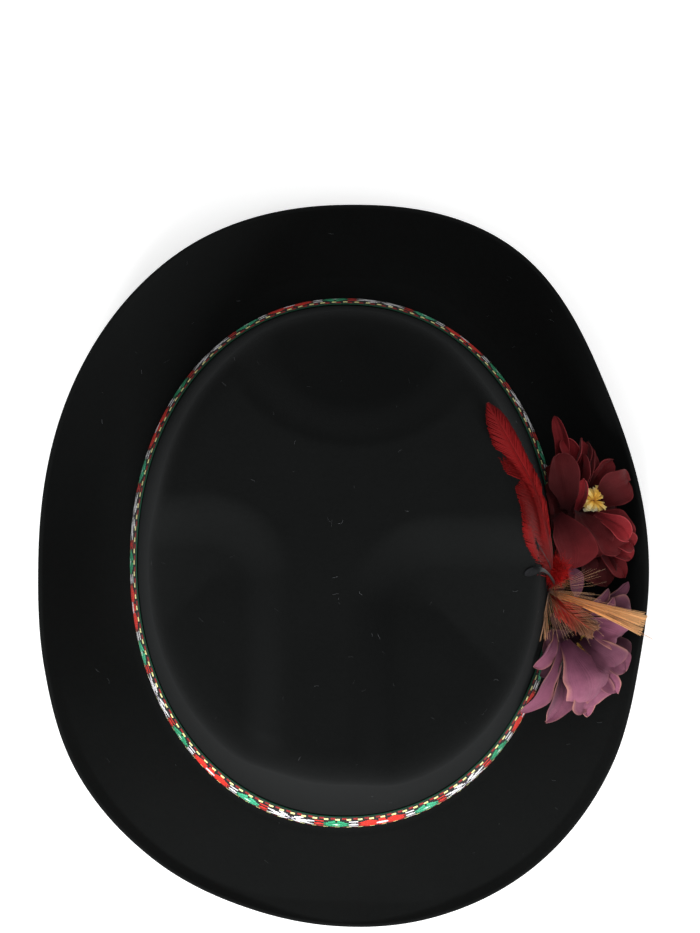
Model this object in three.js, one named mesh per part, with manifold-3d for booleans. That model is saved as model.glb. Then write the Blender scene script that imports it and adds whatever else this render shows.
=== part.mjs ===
// Tyrolean felt hat with a three-dent crown, a rolled brim, a woven band and a posy of silk flowers
// and feathers. Millimetres, +Z up, +X the wearer's left, -Y the front. The hat lies on its brim.

import * as THREE from "three";
import { mergeVertices } from "three/addons/utils/BufferGeometryUtils.js";
import ManifoldModule from "manifold-3d";

// Driving dimensions. The hat frame has z = 0 where the crown's wall meets the brim.
const HEAD = { halfWidth: 83.9, halfLength: 103.5, squareness: 2.1 };
const FELT = { wall: 2.2, edgeRoll: 0.7 };
const CROWN = {
  frontHeight: 128,
  backHeight: 100,
  fallCurve: 0.6,
  sideTaper: 6.8,
  frontTaper: 9.2,
  backTaper: 7.8,
  lipRadius: 13,
  footRadius: 3.5,
};
const DENT = { creaseDepth: 11, creaseWidth: 20, bowlSlope: 0.56, bowlFade: 62 };
const BRIM = { width: 45, sideRise: 27, frontDrop: 12, frontLip: 3.6, lipShare: 0.12 };
const REST = { press: 1.3, mostTilt: 15, passes: 40 };
const BAND = { gap: 0.3, thickness: 1.0, height: 28.5, foot: 3.8 };
const SEAT_GAP = 0.3;
const SLAB_RIM = 0.6;
const PETAL = { thickness: 1.1, clearance: 0.6, ease: 1.5, weld: 0.05 };

// A petal's form: the share of its opening at the foot, its width at the foot as a share of the
// widest, where it is widest, how full its outline is and how hollow it is across.
const PETAL_FORM = { footBend: 0.55, footWidth: 0.25, peak: 0.75, fullness: 0.7, hollow: 0.35 };

// The three dents, as shares of the head's half width (x) and half length (y). The side dents are
// rounded quadrants that open outwards and forwards; the back dent is an ellipse.
const SIDE_DENTS = [
  { side: -1, edgeX: -0.22, edgeY: 0.23, corner: 0.4 },
  { side: 1, edgeX: 0.0, edgeY: 0.15, corner: 0.42 },
];
const BACK_DENT = { centreX: 0.05, centreY: 0.79, halfX: 0.6, halfY: 0.405 };

// Brim sections by azimuth from the wearer's left, in degrees. Reach is the brim's width seen from
// above as a share of its true width, rise a share of the side rise, drop a share of the front drop,
// curl 0 for a straight section and 1 for a parabola, lip a share of the front lip.
const BRIM_SECTIONS = [
  { azimuth: 0, reach: 0.725, rise: 1.0, drop: 0, curl: 1.0, lip: 0 },
  { azimuth: 30, reach: 0.665, rise: 1.08, drop: 0, curl: 1.0, lip: 0 },
  { azimuth: 60, reach: 0.83, rise: 1.05, drop: 0, curl: 0.9, lip: 0 },
  { azimuth: 90, reach: 0.758, rise: 0.95, drop: 0, curl: 0.85, lip: 0 },
  { azimuth: 120, reach: 0.782, rise: 1.05, drop: 0, curl: 0.9, lip: 0 },
  { azimuth: 150, reach: 0.762, rise: 1.08, drop: 0, curl: 1.0, lip: 0 },
  { azimuth: 180, reach: 0.747, rise: 1.0, drop: 0, curl: 1.0, lip: 0 },
  { azimuth: 197, reach: 0.806, rise: 0.8, drop: 0, curl: 1.0, lip: 0.1 },
  { azimuth: 215, reach: 0.896, rise: 0.35, drop: 0.15, curl: 0.8, lip: 0.5 },
  { azimuth: 235, reach: 0.883, rise: 0.05, drop: 0.7, curl: 0.4, lip: 0.9 },
  { azimuth: 255, reach: 0.844, rise: 0, drop: 1.0, curl: 0.2, lip: 1.0 },
  { azimuth: 285, reach: 0.901, rise: 0, drop: 1.0, curl: 0.2, lip: 1.0 },
  { azimuth: 305, reach: 0.921, rise: 0.05, drop: 0.7, curl: 0.4, lip: 0.9 },
  { azimuth: 325, reach: 0.86, rise: 0.35, drop: 0.15, curl: 0.8, lip: 0.5 },
  { azimuth: 343, reach: 0.744, rise: 0.8, drop: 0, curl: 1.0, lip: 0.1 },
];

// Mesh density of the felt: columns round the hat, and rings in each zone of a section. The first
// rings of the brim lie in its edge. Points nearer than the merge distance are one.
const COLUMNS = 64;
const RINGS = { edge: 2, brim: 7, foot: 2, wall: 2, lip: 3, top: 11 };
const PETAL_GRID = { rows: 5, columns: 3 };
const CUP_MESH = { columns: 10, rows: 6 };
const BINDING_STEPS = 4;
const MERGE = 1e-4;

// The search for the lip: how far in the top is read as a share of the lip's radius, how much of
// each new height is taken, and how often.
const LIP_SEARCH = { inset: 0.5, share: 0.7, passes: 8 };
const SLOPE_STEP = 1;

// The posy. Azimuths are degrees on the crown's outline; heights are above the brim's foot.
const BINDING = { azimuth: -3.5, foot: 14, height: 20, width: 19, thickness: 3.2 };
const PARTING = { azimuth: -4, clearance: 1.0, ease: 4 };
const FLOWERS = [
  {
    name: "flower_burgundy",
    stamens: "stamens_burgundy",
    side: 1,
    azimuth: 12,
    height: 19,
    cup: 7,
    facing: 34,
    turn: 7,
    whorls: [
      { count: 4, length: 33, width: 25, root: 0.85, open: 88, start: 0, curl: 0.2 },
      { count: 4, length: 29, width: 20, root: 0.62, open: 64, start: 45, curl: 0.16 },
      { count: 3, length: 20, width: 13, root: 0.36, open: 36, start: 20, curl: 0.1 },
    ],
    colour: 0x5a1026,
    stamenColour: 0xe9dcae,
  },
  {
    name: "flower_mauve",
    stamens: "stamens_mauve",
    side: -1,
    azimuth: -17,
    height: 17,
    cup: 7,
    facing: 22,
    turn: -20,
    whorls: [
      { count: 4, length: 30, width: 23, root: 0.85, open: 84, start: 10, curl: 0.2 },
      { count: 4, length: 26, width: 18, root: 0.62, open: 60, start: 55, curl: 0.16 },
      { count: 3, length: 18, width: 12, root: 0.36, open: 34, start: 30, curl: 0.1 },
    ],
    colour: 0x7a4565,
    stamenColour: 0xe0b44a,
  },
];
const STAMENS = { radius: 5.2, length: 9, lobes: 8, notch: 0.74, heart: 0.7 };

// Feathers: rows along the quill with azimuth, rise above the binding's top and stand-off from the
// crown's wall in mm, and the width as a share of the feather's widest place.
const FEATHER_WIDTH = { redLong: 13, redLow: 9, tanLong: 7, tanLow: 6, quill: 5 };
const FEATHER_THICKNESS = { red: 1.0, tan: 0.9, quill: 1.2 };
const FEATHER_LIE = { clearance: 0.3, upwards: 0.35 };
const FEATHERS = [
  {
    name: "feather_red_long",
    width: FEATHER_WIDTH.redLong,
    thickness: FEATHER_THICKNESS.red,
    colour: 0x7d0f1a,
    rows: [
      { azimuth: 0, rise: 0.4, standoff: 1.7, width: 0.22 },
      { azimuth: 5, rise: 16, standoff: 1.7, width: 0.4 },
      { azimuth: 12, rise: 31, standoff: 1.8, width: 0.72 },
      { azimuth: 20, rise: 45, standoff: 2.4, width: 1.0 },
      { azimuth: 28, rise: 58, standoff: 3.6, width: 1.0 },
      { azimuth: 36, rise: 70, standoff: 4.2, width: 0.74 },
      { azimuth: 43, rise: 79, standoff: 3.6, width: 0.12 },
    ],
  },
  {
    name: "feather_red_low",
    width: FEATHER_WIDTH.redLow,
    thickness: FEATHER_THICKNESS.red,
    colour: 0x8a1a1c,
    rows: [
      { azimuth: -6, rise: 0.8, standoff: 4.2, width: 0.3 },
      { azimuth: -9, rise: 9, standoff: 11, width: 0.8 },
      { azimuth: -13, rise: 13, standoff: 20, width: 1.0 },
      { azimuth: -17, rise: 13, standoff: 28, width: 0.5 },
    ],
  },
  {
    name: "feather_tan_long",
    width: FEATHER_WIDTH.tanLong,
    thickness: FEATHER_THICKNESS.tan,
    colour: 0xa67c4e,
    rows: [
      { azimuth: -2.5, rise: 0.8, standoff: 4.2, width: 0.3 },
      { azimuth: -5, rise: 14, standoff: 12, width: 0.6 },
      { azimuth: -10, rise: 20, standoff: 26, width: 0.9 },
      { azimuth: -15, rise: 19, standoff: 40, width: 1.0 },
    ],
  },
  {
    name: "feather_tan_low",
    width: FEATHER_WIDTH.tanLow,
    thickness: FEATHER_THICKNESS.tan,
    colour: 0xb08a5c,
    rows: [
      { azimuth: -8, rise: 0.5, standoff: 1.7, width: 0.35 },
      { azimuth: -12, rise: 9, standoff: 2.6, width: 0.8 },
      { azimuth: -17, rise: 14, standoff: 4, width: 1.0 },
      { azimuth: -22, rise: 16, standoff: 5.5, width: 0.6 },
    ],
  },
  {
    name: "quill_black",
    width: FEATHER_WIDTH.quill,
    thickness: FEATHER_THICKNESS.quill,
    colour: 0x15171a,
    rows: [
      { azimuth: -4.5, rise: 0.5, standoff: 1.5, width: 0.5 },
      { azimuth: -4, rise: 20, standoff: 1.5, width: 0.6 },
      { azimuth: -3, rise: 38, standoff: 1.8, width: 0.8 },
      { azimuth: -2, rise: 51, standoff: 1.8, width: 1.0 },
    ],
  },
];
const DOWN = { azimuth: -3.5, radius: 5.5, below: 1 };

// Colours and roughness of the pieces. The flowers and feathers name their colours above.
const FINISH = {
  felt: { colour: 0x101214, roughness: 0.95 },
  band: { colour: 0x8c2a26, roughness: 0.85 },
  binding: { colour: 0x2b1a18, roughness: 0.9 },
  down: { colour: 0xb01a1e, roughness: 0.9 },
};
const ROUGHNESS = { petal: 0.75, stamen: 0.7, feather: 0.6 };

const degrees = Math.PI / 180;
const clamp01 = (value) => Math.min(1, Math.max(0, value));
const smooth = (value) => clamp01(value) ** 2 * (3 - 2 * clamp01(value));
const mix = (a, b, share) => a + (b - a) * share;

// A column of a section table at any azimuth, by periodic cubic interpolation.
function around(rows, column, azimuth) {
  const turn = ((azimuth % 360) + 360) % 360;
  const count = rows.length;
  let index = count - 1;
  while (rows[index].azimuth > turn) index -= 1;
  const row = (shift) => {
    const place = index + shift;
    const lap = Math.floor(place / count);
    const entry = rows[place - lap * count];
    return { at: entry.azimuth + lap * 360, value: entry[column] };
  };
  const [before, from, to, after] = [-1, 0, 1, 2].map(row);
  const span = to.at - from.at;
  const share = (turn - from.at) / span;
  const slopeFrom = ((to.value - before.value) / (to.at - before.at)) * span;
  const slopeTo = ((after.value - from.value) / (after.at - from.at)) * span;
  const s2 = share * share;
  const s3 = s2 * share;
  return (
    (2 * s3 - 3 * s2 + 1) * from.value +
    (s3 - 2 * s2 + share) * slopeFrom +
    (3 * s2 - 2 * s3) * to.value +
    (s3 - s2) * slopeTo
  );
}

// The crown's foot is a superellipse: its point and outward normal at an azimuth.
function outline(azimuth) {
  const c = Math.cos(azimuth * degrees);
  const s = Math.sin(azimuth * degrees);
  const power = 2 / HEAD.squareness;
  const x = HEAD.halfWidth * Math.sign(c) * Math.abs(c) ** power;
  const y = HEAD.halfLength * Math.sign(s) * Math.abs(s) ** power;
  const fall = HEAD.squareness - 1;
  const gx = (Math.sign(x) * Math.abs(x / HEAD.halfWidth) ** fall) / HEAD.halfWidth;
  const gy = (Math.sign(y) * Math.abs(y / HEAD.halfLength) ** fall) / HEAD.halfLength;
  const normal = new THREE.Vector2(gx, gy).normalize();
  return { x, y, normal };
}

// How far the wall leans in at a height.
function wallInset(azimuth, height) {
  const s = Math.sin(azimuth * degrees);
  const end = s > 0 ? CROWN.backTaper : CROWN.frontTaper;
  return Math.tan(mix(CROWN.sideTaper, end, s * s) * degrees) * height;
}

// A point at a height on the crown's outer wall, moved out along the horizontal normal.
function wallPoint(azimuth, height, out = 0) {
  const foot = outline(azimuth);
  const shift = out - wallInset(azimuth, height);
  return new THREE.Vector3(foot.x + foot.normal.x * shift, foot.y + foot.normal.y * shift, height);
}

// How far the felt is pressed down at a distance inside a dent's edge.
function dentDrop(inside) {
  if (inside <= 0) return 0;
  const crease = DENT.creaseDepth * smooth(inside / DENT.creaseWidth);
  const reach = DENT.bowlFade * (1 - Math.exp(-inside / DENT.bowlFade));
  return crease + DENT.bowlSlope * reach * smooth(inside / DENT.creaseWidth);
}

// Distance inside a side dent's rounded quadrant.
function insideSideDent(dent, x, y) {
  const corner = dent.corner * HEAD.halfWidth;
  const across = dent.side * (x - dent.edgeX * HEAD.halfWidth);
  const along = dent.edgeY * HEAD.halfLength - y;
  if (across >= corner || along >= corner) return Math.min(across, along);
  return corner - Math.hypot(corner - across, corner - along);
}

function insideBackDent(x, y) {
  const dx = (x / HEAD.halfWidth - BACK_DENT.centreX) / BACK_DENT.halfX;
  const dy = (y / HEAD.halfLength - BACK_DENT.centreY) / BACK_DENT.halfY;
  const reach = (BACK_DENT.halfX * HEAD.halfWidth + BACK_DENT.halfY * HEAD.halfLength) / 2;
  return (1 - Math.hypot(dx, dy)) * reach;
}

// Height of the crown's top at a place in plan: a sloping table with three dents pressed into it.
function crownTop(x, y) {
  const share = (y / HEAD.halfLength + 1) / 2;
  const fall = mix(share, share * share, CROWN.fallCurve);
  let height = mix(CROWN.frontHeight, CROWN.backHeight, fall);
  for (const dent of SIDE_DENTS) height -= dentDrop(insideSideDent(dent, x, y));
  return height - dentDrop(insideBackDent(x, y));
}

// The lip is where the wall ends. Its height and inset depend on each other.
function lipPoint(azimuth) {
  let height = CROWN.frontHeight;
  let point = wallPoint(azimuth, height);
  const { normal } = outline(azimuth);
  const inset = CROWN.lipRadius * LIP_SEARCH.inset;
  for (let pass = 0; pass < LIP_SEARCH.passes; pass += 1) {
    const top = crownTop(point.x - normal.x * inset, point.y - normal.y * inset);
    height = mix(height, top - CROWN.lipRadius, LIP_SEARCH.share);
    point = wallPoint(azimuth, height);
  }
  return point;
}

// Height of the brim's upper face at a distance out from the crown's foot.
function brimHeight(azimuth, out) {
  const reach = around(BRIM_SECTIONS, "reach", azimuth) * BRIM.width;
  const curl = around(BRIM_SECTIONS, "curl", azimuth);
  const rise = around(BRIM_SECTIONS, "rise", azimuth) * BRIM.sideRise;
  const drop = around(BRIM_SECTIONS, "drop", azimuth) * BRIM.frontDrop;
  const lip = around(BRIM_SECTIONS, "lip", azimuth) * BRIM.frontLip;
  const share = clamp01((out - CROWN.footRadius) / (reach - CROWN.footRadius));
  const climb = mix(share, share * share, curl);
  const edge = clamp01((share - 1 + BRIM.lipShare) / BRIM.lipShare);
  return rise * climb - drop * share + lip * edge;
}

function brimPoint(azimuth, share) {
  const foot = outline(azimuth);
  const reach = around(BRIM_SECTIONS, "reach", azimuth) * BRIM.width;
  const out = mix(CROWN.footRadius, reach, share);
  const x = foot.x + foot.normal.x * out;
  const y = foot.y + foot.normal.y * out;
  return new THREE.Vector3(x, y, brimHeight(azimuth, out));
}

// The felt's outer face at one azimuth, from the brim's edge to just short of the crown's middle.
function feltSection(azimuth) {
  const points = [];
  const { normal } = outline(azimuth);
  for (let ring = 0; ring <= RINGS.brim; ring += 1) {
    const even = 1 - ring / RINGS.brim;
    const outer = 1 - (ring * BRIM.lipShare) / RINGS.edge;
    const inner = (even * (1 - BRIM.lipShare)) / (1 - RINGS.edge / RINGS.brim);
    points.push(brimPoint(azimuth, ring <= RINGS.edge ? outer : inner));
  }
  for (let ring = 1; ring <= RINGS.foot; ring += 1) {
    const turn = (ring / RINGS.foot) * 90 * degrees;
    const height = CROWN.footRadius * (1 - Math.cos(turn));
    points.push(wallPoint(azimuth, height, CROWN.footRadius * (1 - Math.sin(turn))));
  }
  const lip = lipPoint(azimuth);
  for (let ring = 1; ring <= RINGS.wall; ring += 1) {
    points.push(wallPoint(azimuth, mix(CROWN.footRadius, lip.z, ring / RINGS.wall)));
  }
  let last = lip;
  for (let ring = 1; ring <= RINGS.lip; ring += 1) {
    const turn = (ring / RINGS.lip) * 90 * degrees;
    const inset = CROWN.lipRadius * (1 - Math.cos(turn));
    const x = lip.x - normal.x * inset;
    const y = lip.y - normal.y * inset;
    const share = ring / RINGS.lip;
    const round = lip.z + CROWN.lipRadius * Math.sin(turn);
    last = new THREE.Vector3(x, y, mix(round, crownTop(x, y), share * share));
    points.push(last);
  }
  for (let ring = 1; ring < RINGS.top; ring += 1) {
    const share = 1 - ring / RINGS.top;
    points.push(new THREE.Vector3(last.x * share, last.y * share, crownTop(last.x * share, last.y * share)));
  }
  return points;
}

// The hat rests with its front brim and the back of its gutter on the surface. The tilt that brings
// both down together is found by halving.
function restPose(sections) {
  const lowest = (tilt, front) => {
    let low = Infinity;
    for (const section of sections) {
      for (const point of section) {
        if (point.y < 0 !== front) continue;
        low = Math.min(low, point.z * Math.cos(tilt) - point.y * Math.sin(tilt));
      }
    }
    return low;
  };
  let [less, more] = [-REST.mostTilt * degrees, REST.mostTilt * degrees];
  for (let pass = 0; pass < REST.passes; pass += 1) {
    const tilt = (less + more) / 2;
    if (lowest(tilt, true) < lowest(tilt, false)) less = tilt;
    else more = tilt;
  }
  const tilt = (less + more) / 2;
  return { tilt, lift: FELT.wall - REST.press - lowest(tilt, true) };
}

const columnAzimuths = Array.from({ length: COLUMNS }, (_, column) => (column * 360) / COLUMNS);
const hatSections = columnAzimuths.map(feltSection);
const pose = restPose(hatSections);

// From the hat frame to the surface that the hat lies on.
function laid(point) {
  const c = Math.cos(pose.tilt);
  const s = Math.sin(pose.tilt);
  return new THREE.Vector3(point.x, point.y * c + point.z * s, point.z * c - point.y * s + pose.lift);
}

// A mesh from its points and its triangles.
function meshFrom(vertices, faces) {
  const geometry = new THREE.BufferGeometry();
  geometry.setAttribute("position", new THREE.Float32BufferAttribute(vertices.flatMap((v) => v.toArray()), 3));
  geometry.setIndex(faces.flat());
  geometry.computeVertexNormals();
  return geometry;
}

// The felt, or with a room the space that it takes with a gap all round. It is a closed shell between
// an outer and an inner grid of points, which run round in columns and each end in one pole point.
function feltGeometry(room = 0) {
  const rings = hatSections[0].length;
  const sheet = hatSections.map((section) => section.map(laid));
  for (const section of sheet) {
    for (const point of section) point.z = Math.max(point.z, FELT.wall);
  }
  const middle = laid(new THREE.Vector3(0, 0, crownTop(0, 0)));
  const at = (column, ring) => sheet[(column + COLUMNS) % COLUMNS][ring];
  const normals = sheet.map((section, column) =>
    section.map((_, ring) => {
      const along = at(column, Math.min(ring + 1, rings - 1)).clone().sub(at(column, Math.max(ring - 1, 0)));
      return at(column + 1, ring).clone().sub(at(column - 1, ring)).cross(along).normalize();
    }),
  );
  const moved = (distance) =>
    sheet.map((section, column) =>
      section.map((point, ring) => point.clone().addScaledVector(normals[column][ring], distance)),
    );
  const outer = moved(room);
  const inner = moved(-FELT.wall - room);
  for (const [column, section] of inner.entries()) {
    for (const [ring, under] of section.entries()) {
      if (sheet[column][ring].z <= FELT.wall) under.copy(sheet[column][ring]).setZ(0);
      under.z = Math.max(under.z, 0) - room;
    }
  }
  const poleOuter = middle.clone().setZ(middle.z + room);
  const poleInner = middle.clone().setZ(middle.z - FELT.wall - room);
  const edge = outer.map((section, column) => {
    const halfway = section[0].clone().add(inner[column][0]).multiplyScalar(0.5);
    const outwards = section[0].clone().sub(section[1]).normalize();
    return halfway.addScaledVector(outwards, FELT.edgeRoll + room);
  });
  const vertices = [...outer.flat(), ...inner.flat(), ...edge, poleOuter, poleInner];
  const outerAt = (column, ring) => (column % COLUMNS) * rings + ring;
  const innerAt = (column, ring) => COLUMNS * rings + outerAt(column, ring);
  const edgeAt = (column) => 2 * COLUMNS * rings + (column % COLUMNS);
  const pole = 2 * COLUMNS * rings + COLUMNS;
  const faces = [];
  const quad = (a, b, c, d) => faces.push([a, b, c], [a, c, d]);
  for (let column = 0; column < COLUMNS; column += 1) {
    const next = column + 1;
    for (let ring = 0; ring < rings - 1; ring += 1) {
      quad(outerAt(column, ring), outerAt(next, ring), outerAt(next, ring + 1), outerAt(column, ring + 1));
      quad(innerAt(column, ring), innerAt(column, ring + 1), innerAt(next, ring + 1), innerAt(next, ring));
    }
    quad(edgeAt(column), edgeAt(next), outerAt(next, 0), outerAt(column, 0));
    quad(innerAt(column, 0), innerAt(next, 0), edgeAt(next), edgeAt(column));
    faces.push([outerAt(column, rings - 1), outerAt(next, rings - 1), pole]);
    faces.push([innerAt(next, rings - 1), innerAt(column, rings - 1), pole + 1]);
  }
  return meshFrom(vertices, faces);
}

// The band is a ring of rectangular section that follows the crown's wall.
function bandGeometry() {
  const section = [
    { up: 0, out: BAND.gap },
    { up: 0, out: BAND.gap + BAND.thickness },
    { up: BAND.height, out: BAND.gap + BAND.thickness },
    { up: BAND.height, out: BAND.gap },
  ];
  const sides = section.length;
  const vertices = columnAzimuths.flatMap((azimuth) =>
    section.map(({ up, out }) => laid(wallPoint(azimuth, BAND.foot + up, out))),
  );
  const faces = [];
  for (let column = 0; column < COLUMNS; column += 1) {
    const here = column * sides;
    const next = ((column + 1) % COLUMNS) * sides;
    for (let side = 0; side < sides; side += 1) {
      const other = (side + 1) % sides;
      faces.push([here + side, next + side, next + other], [here + side, next + other, here + other]);
    }
  }
  return meshFrom(vertices, faces);
}

// A closed slab between two faces of a grid of mid points with a thickness.
function slabGeometry(grid, thickness) {
  const rows = grid.length;
  const columns = grid[0].length;
  const faceSide = (side) =>
    grid.flatMap((row, i) =>
      row.map((point, j) => {
        const along = grid[Math.min(i + 1, rows - 1)][j].clone().sub(grid[Math.max(i - 1, 0)][j]);
        const across = row[Math.min(j + 1, columns - 1)].clone().sub(row[Math.max(j - 1, 0)]);
        const normal = along.cross(across).normalize();
        const rim = j === 0 || j === columns - 1 || i === rows - 1;
        return point.clone().addScaledVector(normal, (side * thickness * (rim ? SLAB_RIM : 1)) / 2);
      }),
    );
  const vertices = [...faceSide(1), ...faceSide(-1)];
  const upper = (i, j) => i * columns + j;
  const lower = (i, j) => rows * columns + upper(i, j);
  const faces = [];
  const quad = (a, b, c, d) => faces.push([a, b, c], [a, c, d]);
  for (let i = 0; i < rows - 1; i += 1) {
    for (let j = 0; j < columns - 1; j += 1) {
      quad(upper(i, j), upper(i + 1, j), upper(i + 1, j + 1), upper(i, j + 1));
      quad(lower(i, j), lower(i, j + 1), lower(i + 1, j + 1), lower(i + 1, j));
    }
    quad(upper(i, 0), lower(i, 0), lower(i + 1, 0), upper(i + 1, 0));
    quad(upper(i + 1, columns - 1), lower(i + 1, columns - 1), lower(i, columns - 1), upper(i, columns - 1));
  }
  for (let j = 0; j < columns - 1; j += 1) {
    quad(upper(0, j + 1), lower(0, j + 1), lower(0, j), upper(0, j));
    quad(upper(rows - 1, j), lower(rows - 1, j), lower(rows - 1, j + 1), upper(rows - 1, j + 1));
  }
  return meshFrom(vertices, faces);
}

// Leaves a value that is well past a limit alone and eases any other towards the limit, never past it.
function eased(value, limit, ease) {
  if (ease <= 0 || value > limit + ease) return Math.max(value, limit);
  return limit + ease * Math.exp((value - limit - ease) / ease);
}

// Moves a point of the posy out of the crown, the band and the brim, to a clearance from each.
function clearOfHat(point, clearance, ease = 0) {
  const fx = Math.abs(point.x / HEAD.halfWidth) ** (HEAD.squareness / 2) * Math.sign(point.x);
  const fy = Math.abs(point.y / HEAD.halfLength) ** (HEAD.squareness / 2) * Math.sign(point.y);
  const azimuth = Math.atan2(fy, fx) / degrees;
  const level = Math.hypot(fx, fy) ** (2 / HEAD.squareness);
  const foot = outline(azimuth);
  const ray = Math.hypot(point.x, point.y);
  const slant = (point.x * foot.normal.x + point.y * foot.normal.y) / ray;
  const out = ray * (1 - 1 / level) * slant;
  const banded = point.z < BAND.foot + BAND.height + clearance;
  const cover = banded ? BAND.gap + BAND.thickness : 0;
  const lip = lipPoint(azimuth);
  const result = point.clone();
  const least = cover + clearance - wallInset(azimuth, Math.min(point.z, lip.z));
  if (point.z < lip.z + CROWN.lipRadius / 2) {
    const push = eased(out, least, ease) - out;
    result.x += foot.normal.x * push;
    result.y += foot.normal.y * push;
  }
  if (out > 0) {
    const [inner, outer] = [out - SLOPE_STEP / 2, out + SLOPE_STEP / 2];
    const slope = (brimHeight(azimuth, outer) - brimHeight(azimuth, inner)) / SLOPE_STEP;
    result.z = eased(point.z, brimHeight(azimuth, out) + clearance * Math.hypot(1, slope), ease);
  }
  return result;
}

const wasm = await ManifoldModule();
wasm.setup();

function solidOf(geometry) {
  const bare = geometry.clone();
  bare.deleteAttribute("normal");
  bare.deleteAttribute("uv");
  const merged = mergeVertices(bare, MERGE);
  const vertProperties = new Float32Array(merged.attributes.position.array);
  const triVerts = new Uint32Array(merged.index.array);
  return new wasm.Manifold(new wasm.Mesh({ numProp: 3, vertProperties, triVerts }));
}

function geometryOf(solid) {
  const mesh = solid.getMesh();
  const geometry = new THREE.BufferGeometry();
  geometry.setAttribute("position", new THREE.BufferAttribute(new Float32Array(mesh.vertProperties), 3));
  geometry.setIndex(new THREE.BufferAttribute(new Uint32Array(mesh.triVerts), 1));
  return mergeVertices(geometry, MERGE);
}

// Joins solids into one, cuts room for their neighbours and keeps only the outer skin, so that the
// pockets between petals are filled.
function joined(geometries, rooms) {
  const [first, ...rest] = geometries.map(solidOf);
  const whole = rest.reduce((sum, piece) => sum.add(piece), first);
  const cut = rooms.reduce((left, room) => left.subtract(solidOf(room)), whole);
  const skins = cut.simplify(PETAL.weld).decompose();
  skins.sort((a, b) => b.volume() - a.volume());
  return geometryOf(skins[0]);
}

// A flower's own frame: the cup's middle stands off the band, the axis looks out and up.
function flowerFrame(flower) {
  const out = BAND.gap + BAND.thickness + SEAT_GAP + flower.cup;
  const middle = wallPoint(flower.azimuth, flower.height, out);
  const { normal } = outline(flower.azimuth);
  const level = new THREE.Vector3(normal.x, normal.y, 0);
  const up = new THREE.Vector3(0, 0, 1);
  const axis = level.applyAxisAngle(up, flower.turn * degrees);
  const side = new THREE.Vector3().crossVectors(up, axis).normalize();
  axis.applyAxisAngle(side, -flower.facing * degrees);
  const top = new THREE.Vector3().crossVectors(axis, side).normalize();
  return { middle, axis, side, top };
}

// One petal as a grid of mid points: narrow at the cup, widest past its middle, hollow along its
// length and bent back towards its tip.
function petalGrid(frame, flower, whorl, index) {
  const { rows, columns } = PETAL_GRID;
  const turn = (whorl.start + (index * 360) / whorl.count) * degrees;
  const open = whorl.open * degrees;
  const root = whorl.root * flower.cup;
  const sink = Math.sqrt(1 - whorl.root ** 2) * flower.cup - PETAL.thickness;
  const spoke = frame.side.clone().multiplyScalar(Math.cos(turn)).addScaledVector(frame.top, Math.sin(turn));
  const across = new THREE.Vector3().crossVectors(frame.axis, spoke).normalize();
  const grid = [];
  for (let i = 0; i < rows; i += 1) {
    const share = i / (rows - 1);
    const bend = open * (mix(PETAL_FORM.footBend, 1, share) + whorl.curl * share);
    const reach = share * whorl.length;
    const forward = sink + reach * Math.cos(bend) + whorl.curl * whorl.length * share * (1 - share) * 2;
    const outward = root + reach * Math.sin(bend);
    const swell = Math.sin(Math.PI * share ** PETAL_FORM.peak) ** PETAL_FORM.fullness;
    const halfWidth = (whorl.width / 2) * mix(PETAL_FORM.footWidth, 1, swell);
    const row = [];
    for (let j = 0; j < columns; j += 1) {
      const sideways = (2 * j) / (columns - 1) - 1;
      const hollow = sideways * sideways * halfWidth * PETAL_FORM.hollow;
      const point = frame.middle
        .clone()
        .addScaledVector(frame.axis, forward + hollow)
        .addScaledVector(spoke, outward)
        .addScaledVector(across, sideways * halfWidth);
      const clear = clearOfHat(point, PETAL.clearance + PETAL.thickness / 2, PETAL.ease);
      row.push(parted(clear, flower.side));
    }
    grid.push(row.map(laid));
  }
  return grid;
}

// Keeps a petal on its own side of the upright plane that parts the two flowers.
function parted(point, side) {
  const plane = outline(PARTING.azimuth);
  const ray = new THREE.Vector2(plane.x, plane.y).normalize();
  const across = side * (point.y * ray.x - point.x * ray.y);
  const short = eased(across, PARTING.clearance, PARTING.ease) - across;
  return new THREE.Vector3(point.x - side * short * ray.y, point.y + side * short * ray.x, point.z);
}

function flowerGeometry(flower) {
  const frame = flowerFrame(flower);
  const cup = new THREE.SphereGeometry(flower.cup, CUP_MESH.columns, CUP_MESH.rows);
  cup.translate(...laid(frame.middle).toArray());
  const petals = flower.whorls.flatMap((whorl) =>
    Array.from({ length: whorl.count }, (_, index) =>
      slabGeometry(petalGrid(frame, flower, whorl, index), PETAL.thickness),
    ),
  );
  const rooms = [feltGeometry(SEAT_GAP), bindingGeometry(SEAT_GAP), downGeometry(SEAT_GAP)];
  for (const feather of FEATHERS) rooms.push(featherGeometry(feather, SEAT_GAP));
  return joined([cup, ...petals], rooms);
}

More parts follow.
